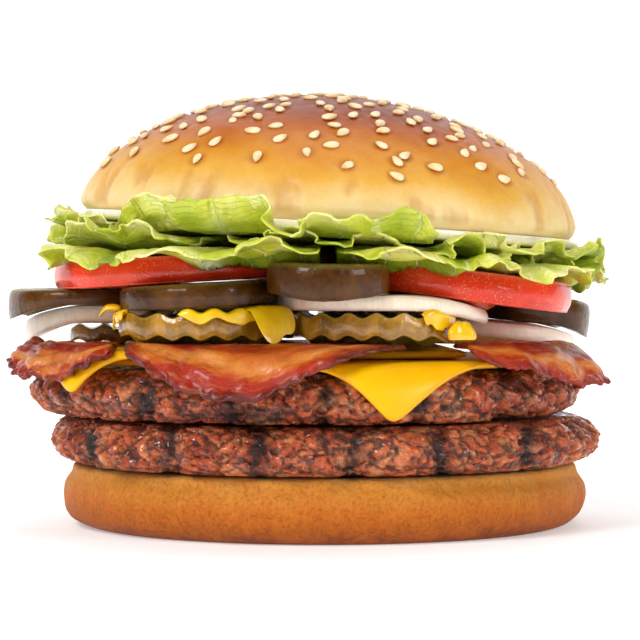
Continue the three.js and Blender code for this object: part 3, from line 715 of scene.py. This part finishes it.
onionSlice = {"profile": [[0.05, 0.5], [0.6, 0.5], [0.93, 0.49], [0.985, 0.34], [1, 0],
                          [0.985, -0.34], [0.93, -0.49], [0.6, -0.5], [0.05, -0.5]],
              "rows": 40, "columns": 150, "uneven": 0.02}
onions = {
    "onion_left": {"x": -44, "y": 2, "z": 45.25, "radius": 21, "thickness": 3.3, "slump": (180, 4, 5.6, 0.64),
                   "seed": 1, "over": ["pickle_left"]},
    "onion_right": {"x": 34.5, "y": -2, "z": 41.9, "radius": 19, "thickness": 3.2, "right": 5.5,
                    "slump": (0, 8, 1.5, 1), "seed": 2, "floor": 38.6},
    "onion_front": {"x": 11, "y": -29, "z": 47.9, "radius": 22.5, "thickness": 3,
                    "slump": (0, 4, 3.5, 1), "seed": 3, "over": ["pickle_front_middle"]},
    "onion_back": {"x": -4, "y": 30, "z": 47.9, "radius": 17, "thickness": 3, "seed": 4},
}
jalapenoSlice = {"profile": [[0.05, "floor"], [0.55, "floor"], [0.66, 0.36], [0.76, 0.5], [0.93, 0.47],
                             [0.985, 0.32], [1, 0], [0.99, -0.36], [0.95, -0.5], [0.6, -0.5], [0.05, -0.5]],
                 "rows": 48, "columns": 150, "uneven": 0.03, "hollow": 1.1}
jalapenos = {
    "jalapeno_left": {"x": -50, "y": -12, "z": 48.75, "radius": 17, "thickness": 3.1, "slump": (185, 3, 3.6, 0),
                      "seed": 1, "over": ["onion_left"]},
    "jalapeno_front_left": {"x": -25.5, "y": -36, "z": 49.4, "radius": 15.7, "thickness": 4.6, "right": -3,
                            "seed": 2, "over": ["pickle_front_left"]},
    "jalapeno_front_right": {"x": 0.5, "y": -47.5, "z": 52.75, "radius": 12.5, "thickness": 6, "right": 1,
                             "slump": (-90, 5, 1.6, 0.2), "seed": 3, "over": ["onion_front"]},
    "jalapeno_right": {"x": 44, "y": 19, "z": 45.9, "radius": 15, "thickness": 6, "right": 6,
                       "slump": (0, 5, 2.5, 0.3), "seed": 4, "over": ["onion_right"]},
    "jalapeno_back_right": {"x": 26.5, "y": 40, "z": 48.7, "radius": 12.5, "thickness": 4.6, "seed": 5},
    "jalapeno_back_left": {"x": -36, "y": 36, "z": 48.7, "radius": 14, "thickness": 4.6, "seed": 6},
}
tomatoSlice = {"profile": [[0.05, 0.5], [0.6, 0.5], [0.93, 0.49], [0.975, 0.4], [0.995, 0.15],
                           [1, -0.15], [0.98, -0.4], [0.94, -0.49], [0.6, -0.5], [0.05, -0.5]],
               "rows": 46, "columns": 190, "uneven": 0.018}
tomatoes = {
    "tomato_left": {"x": -28.8, "y": -15.4, "z": 54.7, "radius": 28.3, "thickness": 5.6, "right": -3.5,
                    "seed": 1, "over": ["jalapeno_left", "jalapeno_front_left"]},
    "tomato_right": {"x": 25.8, "y": -18, "z": 51.7, "radius": 25.7, "thickness": 6.2, "right": 7.5, "seed": 2,
                     "over": ["onion_front", "jalapeno_right"]},
    "tomato_back": {"x": -1, "y": 32, "z": 54.4, "radius": 26, "thickness": 5.2, "front": -1, "seed": 3},
}


def rawOnion():
    f = Finish("rawOnion")
    share, rise = f.attribute("share"), f.attribute("rise")
    fibre = f.noise(0.55, 2, 0.5, stretch=(1, 1, 9))
    cloud = f.noise(6, 3)
    color = f.ramp(cloud * 0.6 + fibre * 0.4, (0.3, "efd0b8"), (0.55, "fbe8d4"), (0.8, "fff8ec"))
    ring = f.step(f.upAndDown(share, 0.07), 0.0, 0.012, 0.55, 0.0)
    color = f.mix(ring, color, "d9b9b4")
    color = f.mix(f.step(rise, 0.2, 0.48) * 0.25, color, "ffffff")
    return f.done(color, 0.28 + 0.15 * cloud, f.bump(fibre, 0.14), soft=0.3,
                  softReach=[1.0, 0.8, 0.7], softScale=0.003, coat=0.2, coatRoughness=0.15)


def darkJalapeno():
    f = Finish("darkJalapeno")
    share, rise = f.attribute("share"), f.attribute("rise")
    patch = f.noise(8, 4, 0.6)
    streak = f.noise(2.2, 3, 0.6, stretch=(1.3, 1.3, 2))
    skin = f.ramp(patch * 0.75 + streak * 0.25,
                  (0.3, "2e1502"), (0.5, "4c2a05"), (0.7, "6c420e"), (0.9, "946829"))
    flesh = f.ramp(f.noise(2.5, 3), (0.35, "5d4f22"), (0.7, "857638"))
    color = f.mix(f.step(share, 0.93, 0.98), flesh, skin)
    color = f.mix(f.step(rise, 0.3, 0.46) * 0.5, color, "6f5f2d")
    height = f.noise(1.3, 3, 0.6) * 0.5 + f.noise(3, 2) * 0.7
    return f.done(color, 0.14 + 0.3 * patch, f.bump(height, 0.5), specular=0.15,
                  soft=0.06, softReach=[0.8, 0.6, 0.2], softScale=0.002,
                  coat=0.3, coatRoughness=0.08)


def freshTomato():
    f = Finish("freshTomato")
    share, rise = f.attribute("share"), f.attribute("rise")
    patch = f.noise(10, 3, 0.5)
    speck = f.step(f.cells(0.55), 0.18, 0.34, 1.0, 0.0) * f.step(f.noise(4, 2), 0.35, 0.6)
    skin = f.ramp(patch, (0.3, "d22407"), (0.55, "ea3a10"), (0.8, "f65a20"))
    flesh = f.ramp(f.noise(4, 4, 0.6), (0.3, "dc3814"), (0.6, "f06a34"), (0.8, "f8945c"))
    color = f.mix(f.step(share, 0.9, 0.97), flesh, skin)
    color = f.mix(speck * 0.55, color, "f2a184")
    # the upper rim and top face are lightened: painted highlight
    color = f.mix(f.step(rise, 0.28, 0.47) * 0.45, color, "f0795a")
    return f.done(color, 0.16 + 0.16 * patch, f.bump(f.noise(1.4, 3, 0.6), 0.12), soft=0.18,
                  softReach=[1.0, 0.25, 0.12], softScale=0.003, specular=0.35, coat=0.3,
                  coatRoughness=0.08)


def makeSlice(name, piece, kind, finish):
    # a profile of shares of the radius and of the thickness, turned about Z, uneven and sagging to one side
    floor = 0.5 - kind.get("hollow", 0) / piece["thickness"]
    profile = [[share, floor if rise == "floor" else rise] for share, rise in kind["profile"]]
    path = throughPoints(profile, kind["rows"])
    path[:, 1] = np.clip(path[:, 1], -0.5, 0.5)
    share, rise = path[:, :1], path[:, 1:]
    angle = angles(kind["columns"])[None, :]
    radius = share * piece["radius"] * (1 + kind["uneven"] * wobble(angle, piece["seed"]))
    thickness = piece["thickness"] + 0.25
    flat = polar(radius, angle, rise * thickness + 0 * angle)
    radius = radius * (1 + 0.004 * roughNoise(flat, 6, piece["seed"]))
    x, y = radius * np.cos(angle), radius * np.sin(angle)
    dimple = 0.12 * roughNoise(flat, 5, piece["seed"] + 4) * np.sign(rise) * smoothStep(np.abs(rise), 0.4, 0.5)
    z = rise * thickness - np.abs(dimple) * np.sign(rise) - sag(x, y, piece["radius"], piece.get("slump"), rise)
    z = settled(piece, x, y, z, share, rise)
    values = {"share": share + 0 * angle, "rise": rise + 0 * angle}
    ringPiece(pieceNameOf(name), np.stack([x, y, z], axis=-1), finish, [name], values, placeOf(piece))


for pieces, kind, finish, slot in (
        (onions, onionSlice, rawOnion(), "onion"), (jalapenos, jalapenoSlice, darkJalapeno(), "jalapeno"),
        (tomatoes, tomatoSlice, freshTomato(), "tomato")):
    for name, piece in pieces.items():
        makeSlice(name, piece, kind, finish)
print("slices made")

# Mustard
mustardDrop = {"rows": 30, "columns": 72,
               "profile": [[0.05, 1], [0.4, 0.99], [0.72, 0.9], [0.93, 0.66], [1, 0.36], [0.94, 0.08], [0.85, 0],
                           [0.4, 0], [0.05, 0]]}
mustards = {
    "mustard_left": {"x": -43.5, "y": -36, "z": 46.2, "length": 2.2, "width": 2.6, "thickness": 1.4, "seed": 1,
                     "slump": (180, 0.2, 2, 1)},
    "mustard_middle": {"x": -12, "y": -46, "z": 46.35, "length": 5, "width": 4, "thickness": 1, "seed": 2,
                       "slump": (-55, 1.2, 4.4, 1)},
    "mustard_right": {"x": 27.2, "y": -46, "z": 40.5, "length": 2.8, "width": 2.5, "thickness": 4, "seed": 3},
}


def yellowMustard():
    f = Finish("yellowMustard")
    cloud = f.noise(3, 3)
    color = f.ramp(cloud, (0.3, "e8ae06"), (0.7, "f7cb1a"))
    return f.done(color, 0.16 + 0.1 * cloud, f.bump(f.noise(2, 2), 0.1), soft=0.12,
                  softReach=[1.0, 0.7, 0.1], softScale=0.002, coat=0.4, coatRoughness=0.08)


def makeMustard(name, piece, finish):
    # an uneven round drop: its profile turned about Z, leaning and swelling by soft noise
    path = throughPoints(mustardDrop["profile"], mustardDrop["rows"])
    angle = angles(mustardDrop["columns"])[None, :]
    rise = path[:, 1:]
    share = path[:, :1] * (1 + 0.1 * wobble(angle, piece["seed"]))
    share = share * np.sqrt(1 - 0.18 * piece["thickness"] * rise ** 2)
    toward = angle - piece.get("slump", (0,))[0] * degree
    share = share * (np.cos(toward) ** 4 + np.sin(toward) ** 4) ** -0.25
    around = polar(2.0 + 0 * (angle + rise), angle, 3 * rise)
    share = share * (1 + 0.22 * roughNoise(around, 2.2, piece["seed"], 2))
    x, y = piece["length"] * share * np.cos(angle), piece["width"] * share * np.sin(angle)
    z = rise * piece["thickness"] - sag(x, y, piece["width"], piece.get("slump"))
    flat = np.stack([x, y, 0 * x], axis=-1)
    z = z + 0.1 * piece["thickness"] * rise * roughNoise(flat, 2.5, piece["seed"] + 4, 2)
    ringPiece(pieceNameOf(name), np.stack([x, y, z], axis=-1), finish, [name], place=placeOf(piece))


# Ribbons of mustard over a pickle's top rim: angles round it, and how far each hangs
ribbonShape = {"bend": 0.7, "thickness": 1.0, "along": 150, "across": 30}
ribbons = {
    "mustardRibbonLeft": {"on": "pickle_front_left", "first": -104, "last": -36, "inner": 1.5, "hang": 2.4,
                          "seed": 4},
    "mustardRibbonFarLeft": {"on": "pickle_front_left", "first": -176, "last": -150, "inner": 1.2, "hang": 3.4,
                             "seed": 7},
    "mustardRibbonRight": {"on": "pickle_front_middle", "first": -58, "last": -22, "inner": 0.2, "hang": 3.2,
                           "seed": 5},
}


def makeRibbon(name, ribbon, finish):
    # a strip that lies on the rim, turns down round a small bend and hangs as far as soft noise lets it
    piece = pickles[ribbon["on"]]
    u, v = unitGrid(ribbonShape["along"], ribbonShape["across"])
    angle = (ribbon["first"] + (ribbon["last"] - ribbon["first"]) * u) * degree
    ends = np.sqrt(np.clip(1 - (2 * u - 1) ** 4, 0.02, 1))
    line = np.stack([u * 6, 0 * u, 0 * u + ribbon["seed"]], axis=-1)
    hang = ribbon["hang"] * ends * (0.5 + 0.75 * np.clip(0.5 + roughNoise(line, 1.2, ribbon["seed"], 2), 0, 1))
    run = v * (ribbon["inner"] * ends + hang)
    bend = ribbonShape["bend"]
    past = np.maximum(0, run - ribbon["inner"] * ends)
    turn = np.minimum(past / bend, math.pi / 2)
    crossway = piece["radius"] * np.cos(angle - piece["turn"] * degree)
    wave = pickle["wave"] * np.sin(crossway / pickle["pitch"] * fullTurn)
    radius = piece["radius"] - ribbon["inner"] * ends + run - past + bend * np.sin(turn)
    top = piece["thickness"] / 2 + 0.5 + wave * (1 - past / (past + 2))
    z = top - bend * (1 - np.cos(turn)) - past + turn * bend
    surface = polar(radius, angle, z)
    thickness = ribbonShape["thickness"] * ends * (0.6 + 0.5 * smoothStep(v, 0.3, 0.9))
    sheetPiece(name, surface[:, ::-1], thickness, finish, place={key: piece[key] for key in "xyz"})


yellow = yellowMustard()
for name, piece in mustards.items():
    makeMustard(name, piece, yellow)
for name, ribbon in ribbons.items():
    makeRibbon(name, ribbon, yellow)
print("mustard made")

# Crown of the bun, with its mayonnaise
crown = {"x": 0.6, "z": 63.6, "radius": 53.4, "height": 28, "taper": 1.1, "lip": 3, "lean": 3.7, "rows": 110,
         "columns": 380}
lid = {"x": crown["x"], "z": crown["z"], "right": crown["lean"]}


def crownPoint(polarAngle, angle):
    # a dome whose height falls as a quarter ellipse; the taper, a power of the sine, slims it towards the top
    radius = crown["radius"] * np.sin(polarAngle) ** crown["taper"] * (1 + 0.006 * wobble(angle, 0.8))
    return np.stack([radius * np.cos(angle), radius * np.sin(angle),
                     crown["height"] * np.cos(polarAngle) + 0 * angle], axis=-1)


sesame = {"count": 225, "length": 3.3, "width": 1.9, "thickness": 1.1, "spread": 0.93, "columns": 12,
          "levels": [0.97, 0.8, 0.5, 0.15, -0.25, -0.6, -0.9]}  # how high a seed's rings lie


def seedPlaces():
    # a golden-angle spiral over the dome: equal areas per seed, each a little off its place
    index = np.arange(sesame["count"])
    share = np.sqrt((index + 0.5) / sesame["count"])
    polarAngle = np.arcsin(sesame["spread"] * share) + 0.03 * (draw(index, 1) - 0.5)
    angle = index * 137.508 * degree + 0.25 * (draw(index, 2) - 0.5)
    return index, polarAngle, angle


def sesameHull():
    f = Finish("sesameHull")
    tip = f.attribute("tip")
    cloud = f.noise(1.5, 3)
    color = f.ramp(cloud * 0.6 + tip * 0.4, (0.25, "f6e6c0"), (0.55, "efd6a2"), (0.85, "d9a868"))
    return f.done(color, 0.38, f.bump(f.noise(0.6, 2), 0.06), soft=0.15,
                  softReach=[0.8, 0.5, 0.3], softScale=0.001, coat=0.2, coatRoughness=0.2)


def makeSeeds():
    # each seed is a flat drop: rings of an ellipsoid that narrows towards its tip
    index, polarAngle, angle = seedPlaces()
    middle = crownPoint(polarAngle, angle)
    east = unit(crownPoint(polarAngle, angle + 0.01) - crownPoint(polarAngle, angle - 0.01))
    south = unit(crownPoint(polarAngle + 0.01, angle) - crownPoint(polarAngle - 0.01, angle))
    out = np.cross(south, east)
    heading = (fullTurn * draw(index, 3))[:, None]
    along = south * np.cos(heading) + east * np.sin(heading)
    aside = np.cross(out, along)
    size = (0.85 + 0.3 * draw(index, 4))[:, None, None, None]
    height = np.array(sesame["levels"])[:, None]
    around = angles(sesame["columns"])[None, :]
    share = np.sqrt(1 - height ** 2)
    x, y, z = share * np.cos(around), share * np.sin(around), height + 0 * around
    tip = np.clip(0.5 + 0.5 * x, 0, 1)
    y = y * (1 - 0.38 * x - 0.12 * x ** 2)
    ring = [value[None, :, :, None] for value in (x, y, z)]
    vectors = [value[:, None, None, :] for value in (along, aside, out)]
    points = middle[:, None, None, :] + size * (
        ring[0] * vectors[0] * sesame["length"] / 2 + ring[1] * vectors[1] * sesame["width"] / 2
        + (ring[2] + 0.3) * vectors[2] * sesame["thickness"] / 2)
    count, rows, columns = points.shape[:3]
    poles = np.stack([points[:, 0].mean(axis=1), points[:, -1].mean(axis=1)], axis=1)
    points = np.concatenate([points.reshape(count, -1, 3), poles], axis=1)
    perSeed = rows * columns + 2
    faces = []
    single = ringFaces(rows, columns)
    for number in range(count):
        faces += [[corner + number * perSeed for corner in face] for face in single]
    tips = np.tile(np.append(tip.ravel(), [0.5, 0.5]), count)
    points = lay(points.reshape(-1, 3), **lid)
    putPiece("sesameSeeds", points, faces, sesameHull(), values={"tip": tips})


def crownCrust():
    f = Finish("crownCrust")
    rise, halo, wrinkle = f.attribute("rise"), f.attribute("halo"), f.attribute("wrinkle")
    patch = f.noise(16, 3, 0.5)
    mottle = f.noise(3.5, 4, 0.6)
    fine = f.noise(0.8, 3, 0.65)
    color = f.ramp(rise + (patch - 0.5) * 0.3 + (mottle - 0.5) * 0.12,
                   (0.0, "f2dcaa"), (0.15, "eccb88"), (0.3, "e0a948"), (0.5, "cf8620"), (0.68, "b65c0e"),
                   (0.88, "842c02"))
    color = f.mix(wrinkle * 0.5, color, "c98a45")
    # painted shadow: the crust darkens in a soft ring round each seed
    color = f.mix(halo * 0.55, color, "a9520f")
    color = f.shade(color, 0.93 + 0.14 * fine)
    height = f.noise(2.2, 3, 0.6) * 0.5 + fine * 0.25
    return f.done(color, 0.3 + 0.2 * mottle, f.bump(height, 0.16), specular=0.12, soft=0.06,
                  softReach=[0.9, 0.5, 0.2], softScale=0.002, coat=0.1, coatRoughness=0.14)


def makeCrown():
    # the dome, a rounded lip under it and its flat cut face
    angle = angles(crown["columns"])[None, :]
    lowest = math.acos(crown["lip"] / crown["height"])
    dome = crownPoint(np.linspace(0.012, lowest, crown["rows"])[:, None], angle)
    turn = np.linspace(0, 1, 10)[1:, None] * math.pi / 2
    lip = polar(crown["radius"] * 0.9937 - crown["lip"] * (1 - np.cos(turn)) * 0.9 + 0 * angle, angle,
                crown["lip"] * (1 - np.sin(turn)) + 0 * angle)
    under = polar(np.linspace(0.93, 0.02, 8)[:, None] * crown["radius"] + 0 * angle, angle, 0 * angle)
    rings = np.concatenate([dome, lip, under])
    outward = unit(rings * [1, 1, (crown["radius"] / crown["height"]) ** 2])
    z = rings[..., 2]
    low = smoothStep(z, 0.2, 2.5) * (1 - smoothStep(z, 7, 16))
    streaks = roughNoise(rings * [1, 1, 0.22], 4.2, 5)
    wrinkle = low * smoothStep(streaks, 0.15, 0.8)
    skin = smoothStep(z, 0.0, 2.0)
    bumps = skin * (0.35 * roughNoise(rings, 17, 2, 2) + 0.05 * roughNoise(rings, 3, 4)) - 0.45 * wrinkle
    _, polarAngle, seedAngle = seedPlaces()
    seeds = crownPoint(polarAngle, seedAngle)
    flat = rings.reshape(-1, 3)
    nearest = np.full(len(flat), 99.0)
    for seed in seeds:
        nearest = np.minimum(nearest, np.linalg.norm(flat - seed, axis=1))
    nearest = nearest.reshape(z.shape)
    # a soft ring round each seed: painted shadow in the crust colour, and also a slight dent
    halo = 1 - smoothStep(nearest, 1.0, 2.6)
    rings = rings + outward * (bumps - 0.18 * halo * skin)[..., None]
    rise = np.clip(z / crown["height"], 0, 1)
    ringPiece("bunCrown", rings, crownCrust(), ["bun_crown"],
              {"rise": rise, "halo": halo, "wrinkle": wrinkle}, lid)


makeCrown()
makeSeeds()
print("upper bun made")

mayonnaise = {"radius": 51.6, "lobe": 3.2, "thickness": 0.8, "bead": 1.15, "gap": 0.3,
              "rows": 34, "columns": 320}


def glossyMayonnaise():
    f = Finish("glossyMayonnaise")
    cloud = f.noise(4, 2)
    color = f.ramp(cloud, (0.3, "f8ecc8"), (0.7, "fffae6"))
    return f.done(color, 0.18, f.bump(f.noise(3, 2), 0.15), soft=0.3,
                  softReach=[1.0, 0.85, 0.6], softScale=0.002, coat=0.4, coatRoughness=0.08)


def makeMayonnaise():
    # a thin layer whose rim swells into a bead of lobes
    bead, thickness = mayonnaise["bead"], mayonnaise["thickness"]
    path = throughPoints([[0.02, 0, 0], [0.9, 0, 0], [0.965, 0.1, 0.1], [1, 0.75, 0.55 * bead],
                          [1.005, 1, 0.1 * bead], [1, 0.95, -1.1 * bead], [0.965, 0.4, -thickness - 0.8],
                          [0.9, 0, -thickness], [0.02, 0, -thickness]], mayonnaise["rows"])
    angle = angles(mayonnaise["columns"])[None, :]
    share, swell, z = path[:, :1], path[:, 1:2], path[:, 2:]
    lobes = mayonnaise["lobe"] * (0.4 + 0.55 * wobble(angle, 2.3, 3, 8))
    radius = share * mayonnaise["radius"] + swell * (lobes + 0.25 * wobble(angle, 1.1, 11, 16))
    z = z * (1 + 0.2 * swell * wobble(angle, 4.2, 5, 12))
    rings = polar(radius, angle, z)
    place = {**lid, "z": crown["z"] - mayonnaise["gap"]}
    ringPiece("mayonnaise", rings, glossyMayonnaise(), ["mayonnaise"], place=place)


makeMayonnaise()
print("mayonnaise made")

# Lettuce
leafShape = {"thickness": 0.55, "inner": 14, "spread": 68, "bend": 4.5, "ridge": 8, "rows": 46, "columns": 112,
             "looseFrom": 47, "ruffleFrom": 56, "heldTo": 50, "freeFrom": 57,  # radii in mm
             "clearance": 0.5, "underCrown": 2.5}
tiers = [
    {"z": 60, "first": -126, "left": 0.055, "right": 0.12, "away": 0.015, "swing": 2.0, "folds": 3.4, "lobes": 9,
     "lobe": -57, "edge": [64, 58, 56, 57, 60], "reach": [67, 64, 62, 63, 61],
     "turn": [-70, -60, -60, -60, -50]},
    {"z": 60.9, "first": -150, "left": 0, "right": 0.09, "away": 0.008, "swing": 2.2, "folds": 4.1, "lobes": 8,
     "lobe": -89, "edge": [56] * 5, "reach": [60.5, 60.5, 58.5, 61, 60], "turn": [30, 8, 12, 12, 30]},
    {"z": 61.7, "first": -102, "left": -0.062, "right": 0.066, "away": 0, "swing": 2.4, "folds": 3.7, "lobes": 7,
     "lobe": -118, "edge": [56] * 5, "reach": [66, 59.5, 58.5, 62, 59], "turn": [75, 70, 50, 70, 25]},
]


def crispLettuce():
    f = Finish("crispLettuce")
    along, across, fold = f.attribute("along"), f.attribute("across"), f.attribute("fold")
    patch = f.noise(13, 3, 0.55)
    bend = f.noise(4, 3, 0.5)
    vein = f.upAndDown(across * 9 + bend * 0.8 + along * 0.4, 0.5)
    small = f.upAndDown(along * 14 + vein * 1.6 + bend, 0.5)
    veins = f.step(vein, 0.0, 0.09, 1.0, 0.0) * 0.8 + f.step(small, 0.0, 0.07, 0.35, 0.0)
    # the ruffles' raised crests are lighter and their troughs darker: painted light and shade
    color = f.ramp(patch * 0.95 + along * 0.2 + fold * 0.25 + bend * 0.25 - 0.28,
                   (0.2, "527006"), (0.4, "94a414"), (0.6, "cacf3c"), (0.82, "f0ec94"))
    color = f.mix(veins * 0.6, color, "e4eaa4")
    color = f.mix(f.attribute("rib") * 0.8, color, "e6ebb8")
    height = bend * 1.0 - veins * 0.5 + f.noise(1.6, 3, 0.6) * 0.25
    return f.done(color, 0.26 + 0.2 * patch, f.bump(height, 0.8), soft=0.22,
                  softReach=[0.55, 1.0, 0.15], softScale=0.002, coat=0.2, coatRoughness=0.18)


def tomatoTop(x, y):
    # the height of the tomatoes' upper faces under a point, or far below where there is none
    top = np.full(x.shape, -99.0)
    for piece in tomatoes.values():
        inside = np.hypot(x - piece["x"], y - piece["y"]) < piece["radius"] * 1.03
        fall = (x - piece["x"]) * math.tan(piece.get("right", 0) * degree)
        fall = fall - (y - piece["y"]) * math.tan(piece.get("front", 0) * degree)
        top = np.where(inside, np.maximum(top, piece["z"] + piece["thickness"] / 2 - fall), top)
    return top


def tierFall(tier, x, y):
    # how far a tier falls from the ridge to each side and to front or back: hyperbolas plus a slope
    ridge = leafShape["ridge"]
    both, tilt = (tier["left"] + tier["right"]) / 2, (tier["right"] - tier["left"]) / 2
    fall = both * (np.hypot(x, ridge) - ridge) + tilt * x
    return fall + tier["away"] * (np.hypot(y, ridge) - ridge)


def makeLeaf(number, tier, index, finish):
    # a sector of its tier, bent past its edge; the rim is a meander: a sine up and down whose crests lean over
    shape = leafShape
    seed = number  # so that each leaf has its own waves
    edge, reach, turn = (tier[key][index] for key in ("edge", "reach", "turn"))
    u, v = unitGrid(shape["rows"], shape["columns"])
    side = 2 * v - 1
    angle = (tier["first"] + 72 * index + side * shape["spread"] / 2) * degree
    lobe = 0.5 + 0.5 * np.cos(tier["lobes"] * (angle - tier["lobe"] * degree))
    rim = np.stack([side * 3, 0 * side + seed, 0 * side], axis=-1)
    outer = reach * (1 - 0.05 * side ** 2) + 1.2 * wobble(2 * angle, seed, 2, 4) - 5 * np.abs(side) ** 8
    outer = outer + 1.6 * roughNoise(rim, 0.5, seed, 3) + 0.3 * np.sin(47 * side + 3 * np.sin(7 * side + seed))
    run = shape["inner"] + (outer - shape["inner"]) * (1 - (1 - u) ** 1.6)
    past = np.maximum(0, run - edge)
    most = abs(turn) * degree * (0.1 + 0.9 * lobe)
    bent = np.minimum(past / shape["bend"], most)
    rest = past - bent * shape["bend"]
    radius = np.minimum(run, edge) + shape["bend"] * np.sin(bent) + rest * np.cos(bent)
    rise = np.sign(turn) * (shape["bend"] * (1 - np.cos(bent)) + rest * np.sin(bent))
    x, y = radius * np.cos(angle), radius * np.sin(angle)
    surface = np.stack([x, y, rise - tierFall(tier, x, y)], axis=-1)
    aside, normal = slopes(surface)
    loose = np.clip((run - shape["looseFrom"]) / (outer - shape["looseFrom"]), 0, 1)
    lively = 0.75 + 0.6 * roughNoise(rim, 1.1, seed + 3, 2)
    swing = tier["swing"] * loose ** 1.4 * lively
    phase = fullTurn * tier["folds"] * v + seed * 2.1 + 1.6 * roughNoise(rim, 1.3, seed + 6, 2)
    hem = np.clip((run - shape["ruffleFrom"]) / (outer - shape["ruffleFrom"]), 0, 1)
    fine = 0.7 * hem ** 1.4 * (0.6 + 0.6 * roughNoise(rim, 0.7, seed + 9, 2))
    finePhase = fullTurn * tier["folds"] * 3.3 * v + 1.5 * np.sin(phase)
    up = swing * np.sin(phase) + fine * np.sin(finePhase)
    over = 0.8 * swing * np.sin(2 * phase) + 0.8 * fine * np.sin(2 * finePhase)
    surface = surface + normal * up[..., None] - aside * over[..., None]
    surface = surface + normal * (0.4 * roughNoise(surface, 5, seed) * smoothStep(run, 36, 54))[..., None]
    points = lay(surface, x=crown["x"], z=tier["z"])
    held = 1 - smoothStep(run, shape["heldTo"], shape["freeFrom"])
    crumple = 0.5 + 0.5 * np.sin(points[..., 1] / 1.9 + 2 * np.sin(points[..., 0] / 6 + seed))
    level = tiers.index(tier)
    sink = tier["z"] - tierFall(tier, x, y) - tomatoTop(points[..., 0], points[..., 1]) - shape["clearance"]
    sink = np.clip(sink, 1.3, 4.5)
    if level:
        below = tiers[level - 1]
        sink = np.maximum(0, tier["z"] - tierFall(tier, x, y) - below["z"] + tierFall(below, x, y) - 0.75)
    points[..., 2] = points[..., 2] - held * smoothStep(run, 18, 26) * sink * crumple
    floor = tomatoTop(points[..., 0], points[..., 1]) + shape["clearance"]
    points[..., 2] = np.maximum(points[..., 2], floor)
    under = crown["z"] - shape["underCrown"] - (points[..., 0] - crown["x"]) * math.tan(crown["lean"] * degree)
    inside = 1 - smoothStep(np.hypot(points[..., 0] - crown["x"], points[..., 1]), 55, 57)
    points[..., 2] = np.where(inside > 0, np.minimum(points[..., 2], under + 12 * (1 - inside)), points[..., 2])
    rib = np.exp(-((side - 0.3 * math.sin(seed)) / 0.06) ** 2) * (1 - smoothStep(u, 0.55, 0.95))
    # the ruffles' up and down, kept for painted light and shade in the colour
    values = {"along": loose, "across": v, "fold": 0.5 + 0.5 * np.sin(phase) * loose, "rib": rib}
    name = f"lettuce_{number:02d}"
    sheetPiece(f"lettuceLeaf{number:02d}", points, shape["thickness"], finish, [name], values)


crisp = crispLettuce()
for level, tier in enumerate(tiers):
    for index in range(5):
        makeLeaf(5 * level + index + 1, tier, index, crisp)
print("lettuce made")


# Floor, world and lamps
backdrop = {"front": -4.0, "back": 2.0, "bend": 1.5, "top": 4.0, "side": 5.0,  # metres
            "glowFrom": 0.07, "glowTo": 0.3, "dim": 0.34, "bright": 0.86}


def makeFloor():
    # a wide sheet: flat, then a quarter circle up to a wall behind, which glows more away from the burger
    f = Finish("paleSurface")
    away = f.node("ShaderNodeVectorMath", {"operation": "LENGTH"}, {0: f.place}, output="Value")
    glow = f.step(away, backdrop["glowFrom"], backdrop["glowTo"], backdrop["dim"], backdrop["bright"])
    body = {"Base Color": [0.86, 0.86, 0.86, 1], "Roughness": 0.7, "Emission Strength": 1.0,
            "Emission Color": f.node("ShaderNodeCombineXYZ", inputs={"X": glow, "Y": glow, "Z": glow})}
    f.node("ShaderNodeOutputMaterial", inputs={"Surface": f.node("ShaderNodeBsdfPrincipled", inputs=body)})
    turn = np.linspace(0, math.pi / 2, 16)
    back, bend = backdrop["back"], backdrop["bend"]
    path = [[backdrop["front"], 0.0], [0.0, 0.0], [back, 0.0]]
    path += [[back + bend * math.sin(t), bend - bend * math.cos(t)] for t in turn[1:]]
    path = np.array(path + [[back + bend, backdrop["top"]]])
    across = np.array([-backdrop["side"], backdrop["side"]])
    points = np.stack([np.broadcast_to(across, (len(path), 2)), np.repeat(path[:, :1], 2, 1),
                       np.repeat(path[:, 1:], 2, 1)], axis=-1)
    mesh = bpy.data.meshes.new("floor")
    mesh.from_pydata(points.reshape(-1, 3).tolist(), [], gridFaces(len(path), 2)[:, ::-1].tolist())
    mesh.polygons.foreach_set("use_smooth", np.ones(len(mesh.polygons), bool))
    mesh.materials.append(f.material)
    floor = bpy.data.objects.new("floor", mesh)
    bpy.context.scene.collection.objects.link(floor)


makeFloor()
world = bpy.data.worlds.new("studio")
bpy.context.scene.world = world
world.use_nodes = True
world.node_tree.nodes["Background"].inputs["Color"].default_value = (1, 1, 1, 1)
world.node_tree.nodes["Background"].inputs["Strength"].default_value = 0.17

lamps = {  # place and aim in metres, size in metres, power in watts
    "softboxLeft": {"place": (-0.5, -0.65, 0.6), "aim": (0, 0, 0.05), "size": 0.4, "power": 6.6},
    "softboxRight": {"place": (0.7, -0.5, 0.35), "aim": (0, 0, 0.05), "size": 0.35, "power": 2.8},
    "softboxTop": {"place": (0.05, 0.15, 0.8), "aim": (0, 0, 0.06), "size": 0.5, "power": 1.8},
}
for name, lamp in lamps.items():
    light = bpy.data.lights.new(name, "AREA")
    light.shape = "SQUARE"
    light.size = lamp["size"]
    light.energy = lamp["power"]
    holder = bpy.data.objects.new(name, light)
    holder.location = lamp["place"]
    way = [lamp["aim"][k] - lamp["place"][k] for k in range(3)]
    tilt = math.atan2(math.hypot(way[0], way[1]), -way[2])
    holder.rotation_euler = (tilt, 0, math.atan2(way[1], way[0]) - math.pi / 2)
    bpy.context.scene.collection.objects.link(holder)
bpy.context.scene.view_settings.view_transform = "Standard"
print("studio made")
